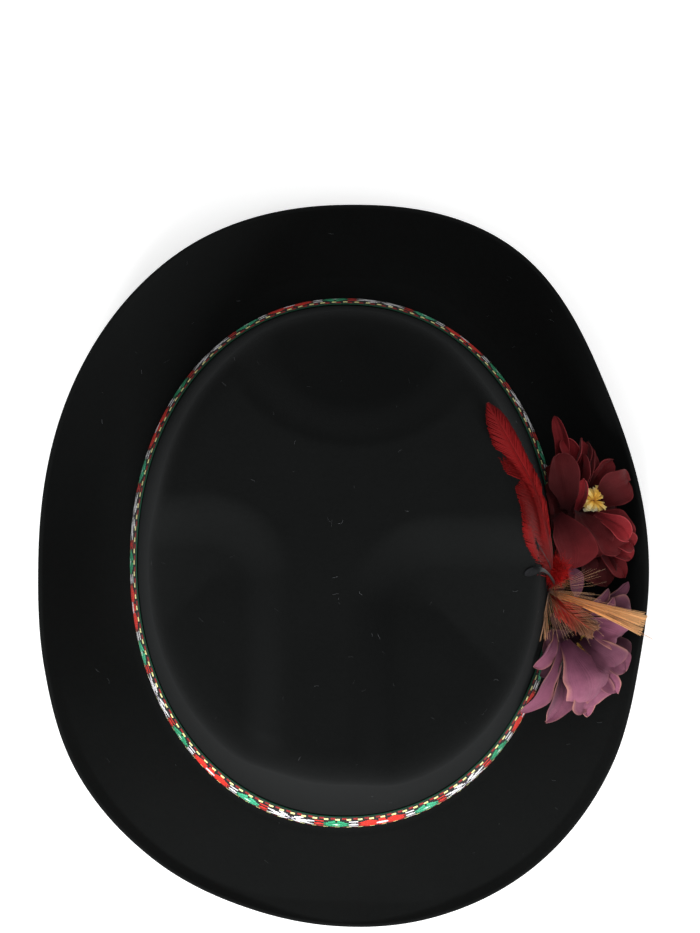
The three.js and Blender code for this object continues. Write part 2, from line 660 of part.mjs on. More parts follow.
// The frilly middle of a flower: a lobed cone that opens along the flower's axis.
function stamenGeometry(flower) {
  const frame = flowerFrame(flower);
  const rings = [
    { along: 0, radius: 0.45 },
    { along: 0.55, radius: 0.7 },
    { along: 1, radius: 1.0 },
    { along: 0.8, radius: 0.35 },
  ];
  const count = STAMENS.lobes * 2;
  const start = flower.cup + SEAT_GAP;
  const place = (ring, index) => {
    const turn = (index * 2 * Math.PI) / count;
    const wave = index % 2 === 0 ? 1 : STAMENS.notch;
    const radius = STAMENS.radius * ring.radius * (ring.along > 0 ? wave : 1);
    return laid(
      frame.middle
        .clone()
        .addScaledVector(frame.axis, start + ring.along * STAMENS.length)
        .addScaledVector(frame.side, radius * Math.cos(turn))
        .addScaledVector(frame.top, radius * Math.sin(turn)),
    );
  };
  const vertices = rings.flatMap((ring) => Array.from({ length: count }, (_, index) => place(ring, index)));
  const foot = vertices.length;
  vertices.push(laid(frame.middle.clone().addScaledVector(frame.axis, start)));
  vertices.push(laid(frame.middle.clone().addScaledVector(frame.axis, start + STAMENS.length * STAMENS.heart)));
  const faces = [];
  for (let index = 0; index < count; index += 1) {
    const next = (index + 1) % count;
    for (let ring = 0; ring < rings.length - 1; ring += 1) {
      const [low, high] = [ring * count, (ring + 1) * count];
      faces.push([low + index, low + next, high + next], [low + index, high + next, high + index]);
    }
    faces.push([foot, next, index]);
    const top = (rings.length - 1) * count;
    faces.push([top + index, top + next, foot + 1]);
  }
  return meshFrom(vertices, faces);
}

// A feather's blade follows its rows along the crown, its flat side to the wall. The room is its size
// with a gap all round.
function featherGeometry(feather, room = 0) {
  const steps = (feather.rows.length - 1) * 2;
  const quill = new THREE.CatmullRomCurve3(
    feather.rows.map((row) => wallPoint(row.azimuth, BINDING.foot + BINDING.height + row.rise, row.standoff)),
  );
  const grid = [];
  for (let i = 0; i <= steps; i += 1) {
    const share = i / steps;
    const place = share * (feather.rows.length - 1);
    const low = Math.min(Math.floor(place), feather.rows.length - 2);
    const width = mix(feather.rows[low].width, feather.rows[low + 1].width, place - low) * feather.width;
    const halfWidth = width / 2 + room;
    const point = quill.getPoint(share);
    const along = quill.getTangent(share);
    const azimuth = mix(feather.rows[low].azimuth, feather.rows[low + 1].azimuth, place - low);
    const { normal } = outline(azimuth);
    const face = new THREE.Vector3(normal.x, normal.y, FEATHER_LIE.upwards).normalize();
    const across = new THREE.Vector3().crossVectors(along, face).normalize();
    grid.push(
      [-1, 0, 1].map((side) => {
        const spot = point.clone().addScaledVector(across, side * halfWidth);
        return laid(clearOfHat(spot, SEAT_GAP + feather.thickness / 2 + FEATHER_LIE.clearance));
      }),
    );
  }
  return slabGeometry(grid, feather.thickness + 2 * room);
}

// A small pad wrapped round the stems, curved with the band. The room is its size with a gap all round.
function bindingGeometry(room = 0) {
  const steps = BINDING_STEPS;
  const grid = [];
  for (let i = 0; i <= steps; i += 1) {
    const row = [];
    for (let j = 0; j <= steps; j += 1) {
      const height = BINDING.foot + BINDING.height / 2 + (BINDING.height / 2 + room) * ((2 * i) / steps - 1);
      const span = ((BINDING.width / 2 + room) / HEAD.halfWidth / degrees) * (1 - (2 * j) / steps);
      const out = BAND.gap + BAND.thickness + SEAT_GAP + BINDING.thickness / 2;
      row.push(laid(wallPoint(BINDING.azimuth + span, height, out)));
    }
    grid.push(row);
  }
  return slabGeometry(grid, BINDING.thickness + 2 * room);
}

// The down tuft sits against the binding's outer face.
function downGeometry(room = 0) {
  const tuft = new THREE.IcosahedronGeometry(DOWN.radius + room, 1);
  const out = BAND.gap + BAND.thickness + 2 * SEAT_GAP + BINDING.thickness + DOWN.radius;
  const height = BINDING.foot + BINDING.height - DOWN.below;
  tuft.translate(...laid(wallPoint(DOWN.azimuth, height, out)).toArray());
  tuft.deleteAttribute("normal");
  tuft.deleteAttribute("uv");
  return mergeVertices(tuft, MERGE);
}

const hat = new THREE.Group();

function add(name, geometry, { colour, roughness }) {
  const material = new THREE.MeshStandardMaterial({
    color: colour,
    roughness,
    metalness: 0,
    flatShading: true,
  });
  const mesh = new THREE.Mesh(geometry, material);
  mesh.name = name;
  hat.add(mesh);
}

add("felt_body", feltGeometry(), FINISH.felt);
add("hat_band", bandGeometry(), FINISH.band);
add("posy_binding", bindingGeometry(), FINISH.binding);
for (const flower of FLOWERS) {
  add(flower.name, flowerGeometry(flower), { colour: flower.colour, roughness: ROUGHNESS.petal });
  add(flower.stamens, stamenGeometry(flower), {
    colour: flower.stamenColour,
    roughness: ROUGHNESS.stamen,
  });
}
for (const feather of FEATHERS) {
  add(feather.name, featherGeometry(feather), {
    colour: feather.colour,
    roughness: ROUGHNESS.feather,
  });
}
add("down_red", downGeometry(), FINISH.down);

// The origin is the bottom centre of the whole hat's box.
const box = new THREE.Box3().setFromObject(hat);
const centre = box.getCenter(new THREE.Vector3());
hat.position.set(-centre.x, -centre.y, -box.min.z);
hat.updateMatrixWorld(true);

export default hat;
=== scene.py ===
"""A black felt Tyrolean hat with a woven folk ribbon and a posy of silk flowers and feathers."""

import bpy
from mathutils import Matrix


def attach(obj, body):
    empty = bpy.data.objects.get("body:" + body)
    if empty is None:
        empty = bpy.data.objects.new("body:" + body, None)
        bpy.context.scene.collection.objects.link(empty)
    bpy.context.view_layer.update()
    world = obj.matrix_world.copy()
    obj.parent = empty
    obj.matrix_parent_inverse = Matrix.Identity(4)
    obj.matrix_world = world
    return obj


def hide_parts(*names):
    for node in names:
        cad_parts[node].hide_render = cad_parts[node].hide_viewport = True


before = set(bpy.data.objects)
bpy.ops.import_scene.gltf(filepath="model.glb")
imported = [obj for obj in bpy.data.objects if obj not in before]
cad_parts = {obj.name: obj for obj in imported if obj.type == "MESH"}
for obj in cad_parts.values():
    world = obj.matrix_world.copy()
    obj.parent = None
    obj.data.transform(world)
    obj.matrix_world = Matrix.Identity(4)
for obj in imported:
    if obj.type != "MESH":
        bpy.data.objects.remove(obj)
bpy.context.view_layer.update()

import logging
import math
from dataclasses import dataclass, field
from enum import Enum
from typing import Sequence

import bpy
import numpy as np

log = logging.getLogger("hat")
MM = 0.001
Array = np.ndarray
Colour = tuple[float, float, float]
UP = np.array([0.0, 0.0, 1.0])
# Weighs a place at the crown's wall into the level direction away from the wall.
AWAY = np.array([1.0, 0.65, 0.0])
SHAFT_FACE = (1.0, 0.0, 0.3)


def smooth(value: Array | float) -> Array | float:
    """A soft step from 0 to 1."""
    held = np.clip(value, 0.0, 1.0)
    return held * held * (3.0 - 2.0 * held)


def mix(first: Array | float, second: Array | float, share: Array | float) -> Array | float:
    """The value a share of the way from the first to the second."""
    return first + (second - first) * share


def unit(vectors: Array) -> Array:
    """The vectors with their length made one."""
    return vectors / np.maximum(np.linalg.norm(vectors, axis=-1, keepdims=True), 1e-9)


def turned(vectors: Array, axes: Array, angle: Array | float) -> Array:
    """Vectors turned about unit axes.

    Args:
        vectors: the vectors, one a row.
        axes: unit axes, one a row or one for all.
        angle: the turn in radians, one for all or one a row.

    Returns:
        The turned vectors.
    """
    cosine = np.cos(angle)[..., None] if np.ndim(angle) else math.cos(angle)
    sine = np.sin(angle)[..., None] if np.ndim(angle) else math.sin(angle)
    along = np.sum(vectors * axes, axis=-1, keepdims=True)
    return vectors * cosine + np.cross(axes, vectors) * sine + axes * along * (1.0 - cosine)


def upright(axis: Sequence[float]) -> tuple[Array, Array, Array]:
    """The axis with its length made one, and two directions across it."""
    ahead = unit(np.array(axis, float))
    side = unit(np.cross(UP, ahead))
    return ahead, side, np.cross(ahead, side)


def bow(start: Array, middle: Array, end: Array, share: Array) -> Array:
    """Points on a curve from start to end that bends towards the middle point."""
    return (1 - share) ** 2 * start + 2 * share * (1 - share) * middle + share**2 * end


def eased(share: Array, start: Array, leave: Array, end: Array, arrive: Array) -> Array:
    """Values from start to end with a slope where they leave and where they arrive."""
    square, cube = share**2, share**3
    return (
        (2 * cube - 3 * square + 1) * start
        + (cube - 2 * square + share) * leave
        + (3 * square - 2 * cube) * end
        + (cube - square) * arrive
    )


def spline(rows: Array, shares: Array) -> Array:
    """Points on a smooth curve through the rows.

    Args:
        rows: the curve's points and any other columns.
        shares: places on the curve from 0 to 1.

    Returns:
        One row of columns for each place.
    """
    count = len(rows) - 1
    place = np.clip(np.asarray(shares, float) * count, 0.0, count - 1e-6)
    low = place.astype(int)
    local = (place - low)[:, None]
    before = rows[np.maximum(low - 1, 0)]
    start, end = rows[low], rows[low + 1]
    after = rows[np.minimum(low + 2, count)]
    return eased(local, start, (end - before) / 2.0, end, (after - start) / 2.0)


@dataclass(frozen=True)
class HatForm:
    """The hat's form in millimetres, with z = 0 where the crown's wall meets the brim."""

    half_width: float = 83.9
    half_length: float = 103.5
    squareness: float = 2.1
    wall: float = 2.2
    front_height: float = 128.0
    back_height: float = 100.0
    fall_curve: float = 0.6
    side_taper: float = 6.8
    front_taper: float = 9.2
    back_taper: float = 7.8
    lip_radius: float = 13.0
    foot_radius: float = 3.5
    crease_depth: float = 11.0
    crease_width: float = 20.0
    bowl_slope: float = 0.56
    bowl_fade: float = 62.0
    brim_width: float = 45.0
    side_rise: float = 27.0
    front_drop: float = 12.0
    front_lip: float = 3.6
    lip_share: float = 0.12
    band_gap: float = 0.3
    band_thickness: float = 1.0
    band_height: float = 28.5
    band_foot: float = 3.8
    side_dents: tuple[tuple[float, float, float, float], ...] = (
        (-1.0, -0.22, 0.23, 0.4),
        (1.0, 0.0, 0.15, 0.42),
    )
    back_dent: tuple[float, float, float, float] = (0.05, 0.79, 0.6, 0.405)
    brim_rows: tuple[tuple[float, ...], ...] = (
        (0, 0.725, 1.0, 0, 1.0, 0),
        (30, 0.665, 1.08, 0, 1.0, 0),
        (60, 0.83, 1.05, 0, 0.9, 0),
        (90, 0.758, 0.95, 0, 0.85, 0),
        (120, 0.782, 1.05, 0, 0.9, 0),
        (150, 0.762, 1.08, 0, 1.0, 0),
        (180, 0.747, 1.0, 0, 1.0, 0),
        (197, 0.806, 0.8, 0, 1.0, 0.1),
        (215, 0.896, 0.35, 0.15, 0.8, 0.5),
        (235, 0.883, 0.05, 0.7, 0.4, 0.9),
        (255, 0.844, 0, 1.0, 0.2, 1.0),
        (285, 0.901, 0, 1.0, 0.2, 1.0),
        (305, 0.921, 0.05, 0.7, 0.4, 0.9),
        (325, 0.86, 0.35, 0.15, 0.8, 0.5),
        (343, 0.744, 0.8, 0, 1.0, 0.1),
    )

    def around(self, column: int, azimuth: Array) -> Array:
        """A column of the brim's table at any azimuth, in degrees."""
        rows = np.array(self.brim_rows, float)
        laps = np.concatenate([rows - [360, 0, 0, 0, 0, 0], rows, rows + [360, 0, 0, 0, 0, 0]])
        turn = np.mod(azimuth, 360.0)
        low = np.searchsorted(laps[:, 0], turn, side="right") - 1
        at, value = laps[:, 0], laps[:, column]
        span = at[low + 1] - at[low]
        share = (turn - at[low]) / span
        slope_low = (value[low + 1] - value[low - 1]) / (at[low + 1] - at[low - 1]) * span
        slope_high = (value[low + 2] - value[low]) / (at[low + 2] - at[low]) * span
        return eased(share, value[low], slope_low, value[low + 1], slope_high)

    def outline(self, azimuth: Array) -> tuple[Array, Array, Array, Array]:
        """The crown's foot at an azimuth: x, y and the outward normal's x and y."""
        turn = np.radians(azimuth)
        cosine, sine = np.cos(turn), np.sin(turn)
        power = 2.0 / self.squareness
        x = self.half_width * np.sign(cosine) * np.abs(cosine) ** power
        y = self.half_length * np.sign(sine) * np.abs(sine) ** power
        fall = self.squareness - 1.0
        across = np.sign(x) * np.abs(x / self.half_width) ** fall / self.half_width
        along = np.sign(y) * np.abs(y / self.half_length) ** fall / self.half_length
        length = np.hypot(across, along)
        return x, y, across / length, along / length

    def wall_inset(self, azimuth: Array, height: Array | float) -> Array:
        """How far the wall leans in at a height."""
        sine = np.sin(np.radians(azimuth))
        end = np.where(sine > 0, self.back_taper, self.front_taper)
        return np.tan(np.radians(mix(self.side_taper, end, sine * sine))) * height

    def wall_point(self, azimuth: Array, height: Array | float, out: Array | float = 0.0) -> Array:
        """A point on the crown's wall, moved out along its level normal."""
        x, y, across, along = self.outline(azimuth)
        shift = out - self.wall_inset(azimuth, height)
        return np.stack([x + across * shift, y + along * shift, np.zeros_like(x) + height], -1)

    def dent_drop(self, inside: Array) -> Array:
        """How far the felt is pressed down at a distance inside a dent's edge."""
        held = np.maximum(inside, 0.0)
        step = smooth(held / self.crease_width)
        reach = self.bowl_fade * (1.0 - np.exp(-held / self.bowl_fade))
        return self.crease_depth * step + self.bowl_slope * reach * step

    def crown_top(self, x: Array, y: Array) -> Array:
        """Height of the crown's top: a sloping table with three dents pressed into it."""
        share = (y / self.half_length + 1.0) / 2.0
        fall = share * share * self.fall_curve + share * (1.0 - self.fall_curve)
        height = mix(self.front_height, self.back_height, fall)
        for side, edge_x, edge_y, corner_share in self.side_dents:
            corner = corner_share * self.half_width
            across = side * (x - edge_x * self.half_width)
            along = edge_y * self.half_length - y
            rounded = corner - np.hypot(corner - across, corner - along)
            straight = (across >= corner) | (along >= corner)
            height = height - self.dent_drop(np.where(straight, np.minimum(across, along), rounded))
        centre_x, centre_y, reach_x, reach_y = self.back_dent
        level = np.hypot(
            (x / self.half_width - centre_x) / reach_x,
            (y / self.half_length - centre_y) / reach_y,
        )
        size = (reach_x * self.half_width + reach_y * self.half_length) / 2.0
        return height - self.dent_drop((1.0 - level) * size)

    def lip_point(self, azimuth: Array) -> Array:
        """Where the wall ends and the rounding to the top begins."""
        _, _, across, along = self.outline(azimuth)
        height = np.zeros_like(across) + self.front_height
        point = self.wall_point(azimuth, height)
        for _ in range(8):
            top_x = point[..., 0] - across * self.lip_radius * 0.5
            top_y = point[..., 1] - along * self.lip_radius * 0.5
            height = mix(height, self.crown_top(top_x, top_y) - self.lip_radius, 0.7)
            point = self.wall_point(azimuth, height)
        return point

    def brim_height(self, azimuth: Array, out: Array) -> Array:
        """Height of the brim's upper face at a distance out from the crown's foot."""
        reach = self.around(1, azimuth) * self.brim_width
        rise = self.around(2, azimuth) * self.side_rise
        drop = self.around(3, azimuth) * self.front_drop
        lip = self.around(5, azimuth) * self.front_lip
        share = np.clip((out - self.foot_radius) / (reach - self.foot_radius), 0.0, 1.0)
        climb = mix(share, share * share, self.around(4, azimuth))
        edge = np.clip((share - 1.0 + self.lip_share) / self.lip_share, 0.0, 1.0)
        return rise * climb - drop * share + lip * edge

    def clear(self, points: Array, gap: float, over: bool = False) -> Array:
        """Moves points of the posy out of the crown, the band and the brim.

        Args:
            points: points in the hat's frame, one a row.
            gap: the clearance that they get.
            over: whether points inside the lip's outline go over it and not back out.

        Returns:
            The moved points.
        """
        x, y, z = points[:, 0].copy(), points[:, 1].copy(), points[:, 2].copy()
        half_power = self.squareness / 2.0
        flat_x = np.sign(x) * np.abs(x / self.half_width) ** half_power
        flat_y = np.sign(y) * np.abs(y / self.half_length) ** half_power
        azimuth = np.degrees(np.arctan2(flat_y, flat_x))
        level = np.maximum(np.hypot(flat_x, flat_y), 1e-6) ** (2.0 / self.squareness)
        _, _, across, along = self.outline(azimuth)
        ray = np.hypot(x, y)
        slant = (x * across + y * along) / np.maximum(ray, 1e-6)
        out = ray * (1.0 - 1.0 / level) * slant
        lip = self.lip_point(azimuth)[:, 2]
        banded = z < self.band_foot + self.band_height + gap
        cover = np.where(banded, self.band_gap + self.band_thickness, 0.0)
        least = cover + gap - self.wall_inset(azimuth, np.minimum(z, lip))
        inside = over & (out < -self.wall_inset(azimuth, lip))
        push = np.where((z < lip) & ~inside, np.maximum(least - out, 0.0), 0.0)
        x, y = x + across * push, y + along * push
        inward = np.clip((-self.wall_inset(azimuth, lip) - out) / self.lip_radius, 0.0, 1.0)
        turn = np.arccos(1.0 - inward)
        rounded = lip + self.lip_radius * np.sin(turn)
        roof = mix(rounded, self.crown_top(x, y), (turn / (math.pi / 2.0)) ** 2)
        above = ((z >= lip) | inside) & (inward > 0.0)
        z = np.where(above, np.maximum(z, roof + gap), z)
        floor = self.brim_height(azimuth, out) + gap * 1.3
        return np.stack([x, y, np.where(out > 0.0, np.maximum(z, floor), z)], -1)


@dataclass(frozen=True)
class Lay:
    """How the hat lies on the floor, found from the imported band's foot."""

    tilt: float
    origin: Array

    @classmethod
    def from_band(cls, form: HatForm) -> "Lay":
        """Reads the tilt and the origin of the hat's frame from the band's lower ring.

        Args:
            form: the hat's form.

        Returns:
            The lay of the hat.
        """
        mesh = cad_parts["hat_band"].data
        points = coordinates(mesh) / MM
        middle = (points[:, 2].min() + points[:, 2].max()) / 2.0
        ring = points[points[:, 2] < middle]
        slope, _ = np.polyfit(ring[:, 1], ring[:, 2], 1)
        tilt = -math.atan(slope)
        axis = np.array([0.0, math.sin(tilt), math.cos(tilt)])
        centre = (ring.min(0) + ring.max(0)) / 2.0
        return cls(tilt, centre - axis * form.band_foot)

    def place(self, points: Array) -> Array:
        """Points of the hat's frame, in metres in the part's frame."""
        cosine, sine = math.cos(self.tilt), math.sin(self.tilt)
        x, y, z = points[..., 0], points[..., 1], points[..., 2]
        return (np.stack([x, y * cosine + z * sine, z * cosine - y * sine], -1) + self.origin) * MM


def coordinates(mesh: bpy.types.Mesh) -> Array:
    """The mesh's vertices, one a row."""
    flat = np.zeros(len(mesh.vertices) * 3, np.float32)
    mesh.vertices.foreach_get("co", flat)
    return flat.reshape(-1, 3).astype(float)


class Bench:
    """The maker's bench: the operators that shape a piece."""

    WELD = 1e-6
    FAR = (37.1, 23.3, 11.7)

    @staticmethod
    def select(piece: bpy.types.Object) -> None:
        """Makes the piece the only selected and the active object."""
        bpy.ops.object.select_all(action="DESELECT")
        piece.select_set(True)
        bpy.context.view_layer.objects.active = piece

    @staticmethod
    def grid(name: str, columns: int, rows: int) -> bpy.types.Object:
        """A flat grid of side one with a UV map from 0 to 1."""
        bpy.ops.object.select_all(action="DESELECT")
        bpy.ops.mesh.primitive_grid_add(x_subdivisions=columns, y_subdivisions=rows, size=1.0)
        piece = bpy.context.object
        piece.name = piece.data.name = name
        return piece

    @staticmethod
    def shape(piece: bpy.types.Object, points: Array) -> None:
        """Gives the piece's vertices new places, in metres."""
        piece.data.vertices.foreach_set("co", np.ascontiguousarray(points, np.float32).ravel())
        piece.data.update()

    @staticmethod
    def copy(piece: bpy.types.Object, name: str) -> bpy.types.Object:
        """A copy of the piece with its own mesh."""
        twin = piece.copy()
        twin.data = piece.data.copy()
        twin.name = twin.data.name = name
        bpy.context.scene.collection.objects.link(twin)
        return twin

    @staticmethod
    def finish(piece: bpy.types.Object, kind: str, **settings: object) -> None:
        """Adds a modifier of a kind with its settings and applies it."""
        Bench.select(piece)
        modifier = piece.modifiers.new(kind.title(), kind)
        for key, value in settings.items():
            setattr(modifier, key, value)
        bpy.ops.object.modifier_apply(modifier=modifier.name)

    @staticmethod
    def thicken(piece: bpy.types.Object, wall: float, offset: float = 0.0) -> None:
        """Gives a sheet a wall in mm, on both sides at offset 0 and all inside at -1."""
        Bench.finish(piece, "SOLIDIFY", thickness=wall * MM, offset=offset)

    @staticmethod
    def cells(piece: bpy.types.Object, columns: int, rows: int) -> tuple[Array, Array]:
        """The column and the row of each vertex of a flat grid."""
        flat = coordinates(piece.data) + 0.5
        return np.rint(flat[:, 0] * columns).astype(int), np.rint(flat[:, 1] * rows).astype(int)

    @staticmethod
    def weld(piece: bpy.types.Object) -> None:
        """Closes seams and poles."""
        Bench.select(piece)
        bpy.ops.object.mode_set(mode="EDIT")
        bpy.ops.mesh.select_all(action="SELECT")
        bpy.ops.mesh.remove_doubles(threshold=Bench.WELD)
        bpy.ops.object.mode_set(mode="OBJECT")

    @staticmethod
    def sort(piece: bpy.types.Object) -> None:
        """Orders the mesh by distance from a far place, since a sphere's own order varies."""
        Bench.select(piece)
        bpy.context.scene.cursor.location = Bench.FAR
        bpy.ops.object.mode_set(mode="EDIT")
        bpy.ops.mesh.select_all(action="SELECT")
        bpy.ops.mesh.sort_elements(type="CURSOR_DISTANCE", elements={"VERT", "EDGE", "FACE"})
        bpy.ops.object.mode_set(mode="OBJECT")
        bpy.context.scene.cursor.location = (0.0, 0.0, 0.0)

    @staticmethod
    def join(pieces: Sequence[bpy.types.Object], name: str) -> bpy.types.Object:
        """Joins the pieces into one object."""
        Bench.select(pieces[0])
        for piece in pieces[1:]:
            piece.select_set(True)
        bpy.ops.object.join()
        whole = bpy.context.object
        whole.name = whole.data.name = name
        return whole

    @staticmethod
    def smooth_shade(piece: bpy.types.Object, angle: float = 60.0) -> None:
        """Shades the piece smooth, apart from edges sharper than the angle."""
        Bench.select(piece)
        bpy.ops.object.shade_smooth_by_angle(angle=math.radians(angle))

    @staticmethod
    def paint(piece: bpy.types.Object, name: str, colours: Array) -> None:
        """Stores a colour attribute, one row a vertex."""
        layer = piece.data.attributes.new(name, "FLOAT_COLOR", "POINT")
        rows = np.concatenate([colours, np.ones((len(colours), 4 - colours.shape[1]))], 1)
        layer.data.foreach_set("color", np.ascontiguousarray(rows, np.float32).ravel())


def seat(piece: bpy.types.Object, slot: str, material: bpy.types.Material, *nodes: str) -> None:
    """Sets the piece on the hat: its ride, its material and the nodes it stands for."""
    piece.data.materials.clear()
    piece.data.materials.append(material)
    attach(piece, "root")
    if nodes:
        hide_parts(*nodes)
    log.info("%s: %d faces", piece.name, len(piece.data.polygons))


class Wire:
    """A number in the shader maths, on an output socket."""

    def __init__(self, paint: "Paint", socket: bpy.types.NodeSocket) -> None:
        """Keeps the socket and the material that it belongs to."""
        self.paint = paint
        self.socket = socket

    def __add__(self, other: "Wire | float") -> "Wire":
        """This plus the other."""
        return self.paint.maths("ADD", self, other)

    __radd__ = __add__

    def __rsub__(self, other: "Wire | float") -> "Wire":
        """The other less this."""
        return self.paint.maths("SUBTRACT", other, self)

    def __mul__(self, other: "Wire | float") -> "Wire":
        """This times the other."""
        return self.paint.maths("MULTIPLY", self, other)

    __rmul__ = __mul__


class Paint:
    """A node material in the making."""

    def __init__(self, name: str) -> None:
        """Starts an empty material with its output."""
        self.material = bpy.data.materials.new(name)
        self.material.use_nodes = True
        self.tree = self.material.node_tree
        self.tree.nodes.clear()

    def node(
        self, kind: str, settings: dict[str, object] | None = None, sockets: dict | None = None
    ) -> bpy.types.Node:
        """Adds a node.

        Args:
            kind: the node's type.
            settings: its own settings, set first.
            sockets: values, wires or sockets for its inputs, by name or number.

        Returns:
            The node.
        """
        node = self.tree.nodes.new(kind)
        for key, value in (settings or {}).items():
            setattr(node, key, value)
        for key, value in (sockets or {}).items():
            value = value.socket if isinstance(value, Wire) else value
            if isinstance(value, bpy.types.NodeSocket):
                self.tree.links.new(value, node.inputs[key])
            else:
                node.inputs[key].default_value = value
        return node

    def maths(self, operation: str, first: "Wire | float", second: "Wire | float" = 0.0) -> Wire:
        """A Math node on two numbers."""
        node = self.node("ShaderNodeMath", {"operation": operation}, {0: first, 1: second})
        return Wire(self, node.outputs[0])

    def noise(self, scale: float, detail: float = 3.0, rough: float = 0.6) -> Wire:
        """Noise on object coordinates."""
        place = self.node("ShaderNodeTexCoord").outputs["Object"]
        sockets = {"Vector": place, "Scale": scale, "Detail": detail, "Roughness": rough}
        return Wire(self, self.node("ShaderNodeTexNoise", None, sockets).outputs["Fac"])

    def ranged(self, value: Wire, low: float, high: float) -> Wire:
        """A number from 0 at a low value to 1 at a high one."""
        sockets = {"Value": value, "From Min": low, "From Max": high}
        return Wire(self, self.node("ShaderNodeMapRange", None, sockets).outputs[0])

    def tint(self, factor: "Wire | float", first: object, second: object) -> bpy.types.NodeSocket:
        """A mix of two colours."""
        ends = [(*end, 1.0) if isinstance(end, tuple) else end for end in (first, second)]
        sockets = {0: factor, 6: ends[0], 7: ends[1]}
        return self.node("ShaderNodeMix", {"data_type": "RGBA"}, sockets).outputs[2]

    def shade(self, colour: object, factor: Wire) -> bpy.types.NodeSocket:
        """A colour times a number."""
        sockets = {0: colour, "Scale": factor}
        return self.node("ShaderNodeVectorMath", {"operation": "SCALE"}, sockets).outputs[0]

    def split(self, vector: bpy.types.NodeSocket) -> tuple[Wire, Wire, Wire]:
        """The three parts of a vector."""
        node = self.node("ShaderNodeSeparateXYZ", None, {0: vector})
        return tuple(Wire(self, socket) for socket in node.outputs)

    def attribute(self, name: str) -> bpy.types.NodeSocket:
        """A stored colour."""
        return self.node("ShaderNodeAttribute", {"attribute_name": name}).outputs["Color"]

    def bump(self, height: Wire, distance: float, strength: float) -> bpy.types.NodeSocket:
        """A bump from a height, in metres."""
        sockets = {"Height": height, "Distance": distance, "Strength": strength}
        return self.node("ShaderNodeBump", None, sockets).outputs["Normal"]

    def cover(self, sockets: dict[str, object]) -> bpy.types.Material:
        """Ends the material with its shader."""
        shader = self.node("ShaderNodeBsdfPrincipled", None, sockets)
        self.node("ShaderNodeOutputMaterial", None, {"Surface": shader.outputs["BSDF"]})
        return self.material


@dataclass(frozen=True)
class FeltFinish:
    """Black wool felt: deep, matt, with a short nap that catches light at a low angle."""

    dark: Colour = (0.004, 0.0043, 0.0043)
    light: Colour = (0.0087, 0.0093, 0.0092)
    nap: float = 0.013
    gloss: float = 0.018
    roughness: float = 0.93

    def material(self) -> bpy.types.Material:
        """The felt's material."""
        paint = Paint("felt_black")
        mottle = paint.noise(38.0, 4.0)
        fibre = paint.noise(2600.0, 2.0, 0.7)
        clump = paint.noise(620.0, 3.0, 0.6)
        colour = paint.tint(mottle * 0.35 + clump * 0.35 + fibre * 0.3, self.dark, self.light)
        height = fibre * 0.55 + clump * 0.6
        return paint.cover(
            {
                "Base Color": colour,
                "Roughness": mottle * 0.08 + (self.roughness - 0.06),
                "Specular IOR Level": self.gloss,
                "Sheen Weight": self.nap,
                "Sheen Roughness": 0.5,
                "Sheen Tint": (0.9, 0.97, 1.0, 1.0),
                "Normal": paint.bump(height, 0.00035, 0.55),
            }
        )


@dataclass(frozen=True)
class RibbonFinish:
    """Woven ribbon: each cell's thread colour, with the weft's floats and the warp between them."""

    def material(self) -> bpy.types.Material:
        """The ribbon's material."""
        paint = Paint("ribbon_weave")
        place = paint.node("ShaderNodeUVMap", {"uv_map": "UVMap"}).outputs[0]
        across, up, _ = paint.split(place)
        threads = paint.maths("SINE", up * (2.0 * math.pi * 2.0)) * 0.5 + 0.5
        ends = paint.maths("SINE", across * (2.0 * math.pi)) * 0.5 + 0.5
        fray = paint.noise(900.0, 3.0)
        # Painted shade: the colour is darker in the grooves between the weft threads and lighter on
        # their crowns; the fray noise adds the fibres' own variation.
        colour = paint.shade(paint.attribute("thread"), fray * 0.5 + threads * 0.22 + 0.66)
        return paint.cover(
            {
                "Base Color": colour,
                "Roughness": 0.78 - threads * 0.22,
                "Specular IOR Level": 0.2,
                "Sheen Weight": 0.05,
                "Sheen Roughness": 0.4,
                "Normal": paint.bump(threads * 0.7 + ends * 0.4 + fray * 0.3, 0.00022, 0.7),
            }
        )


@dataclass(frozen=True)
class SilkFinish:
    """Silk petal: painted shade at its foot, lighter along its edge, partly a painted edge
    highlight, with fine veins and a soft sheen.
    """

    name: str
    # Painted shade: the dark colour at the petal's foot, where the petals crowd into the cup.
    foot: Colour
    body: Colour
    edge: Colour
    rim: Colour
    rim_share: float
    rim_start: float = 0.9

    def material(self) -> bpy.types.Material:
        """The petal's material."""
        paint = Paint(self.name)
        along, across, tone = paint.split(paint.attribute("petal"))
        cloud = paint.noise(150.0, 3.0)
        blotch = paint.noise(60.0, 2.0)
        # Painted shade: the colour runs from the dark foot to the body along the petal.
        colour = paint.tint(along * 1.2, self.foot, self.body)
        colour = paint.tint(along * cloud * 0.8, colour, self.edge)
        # The lighter rim is partly the silk's pale edge and partly a painted edge highlight, laid
        # on in patches.
        rim = paint.ranged(across, self.rim_start, 1.0)
        edge_and_highlight_patches = paint.ranged(blotch, 0.38, 0.62)
        colour = paint.tint(rim * rim * edge_and_highlight_patches * self.rim_share, colour, self.rim)
        place = paint.node("ShaderNodeUVMap", {"uv_map": "UVMap"}).outputs[0]
        side, _, _ = paint.split(place)
        weave = paint.noise(3200.0, 1.0)
        fan = {"W": side * 30.0, "Scale": 1.0, "Detail": 2.0}
        veins = paint.node("ShaderNodeTexNoise", {"noise_dimensions": "1D"}, fan)
        veins = Wire(paint, veins.outputs["Fac"])
        worn = veins * 0.28 + cloud * 0.35 + blotch * 0.6 + 0.36
        # Painted light and shade: the petal's stored tone scales its colour by how lit it is,
        # besides the mottling from veins, cloud and blotches.
        colour = paint.shade(colour, tone * 1.35 * worn)
        return paint.cover(
            {
                "Base Color": colour,
                "Roughness": 0.8 - cloud * 0.15,
                "Specular IOR Level": 0.14,
                "Sheen Weight": 0.05,
                "Sheen Roughness": 0.4,
                "Normal": paint.bump(veins * 0.4 + weave * 0.15 + cloud * 1.6, 0.0007, 0.5),
            }
        )


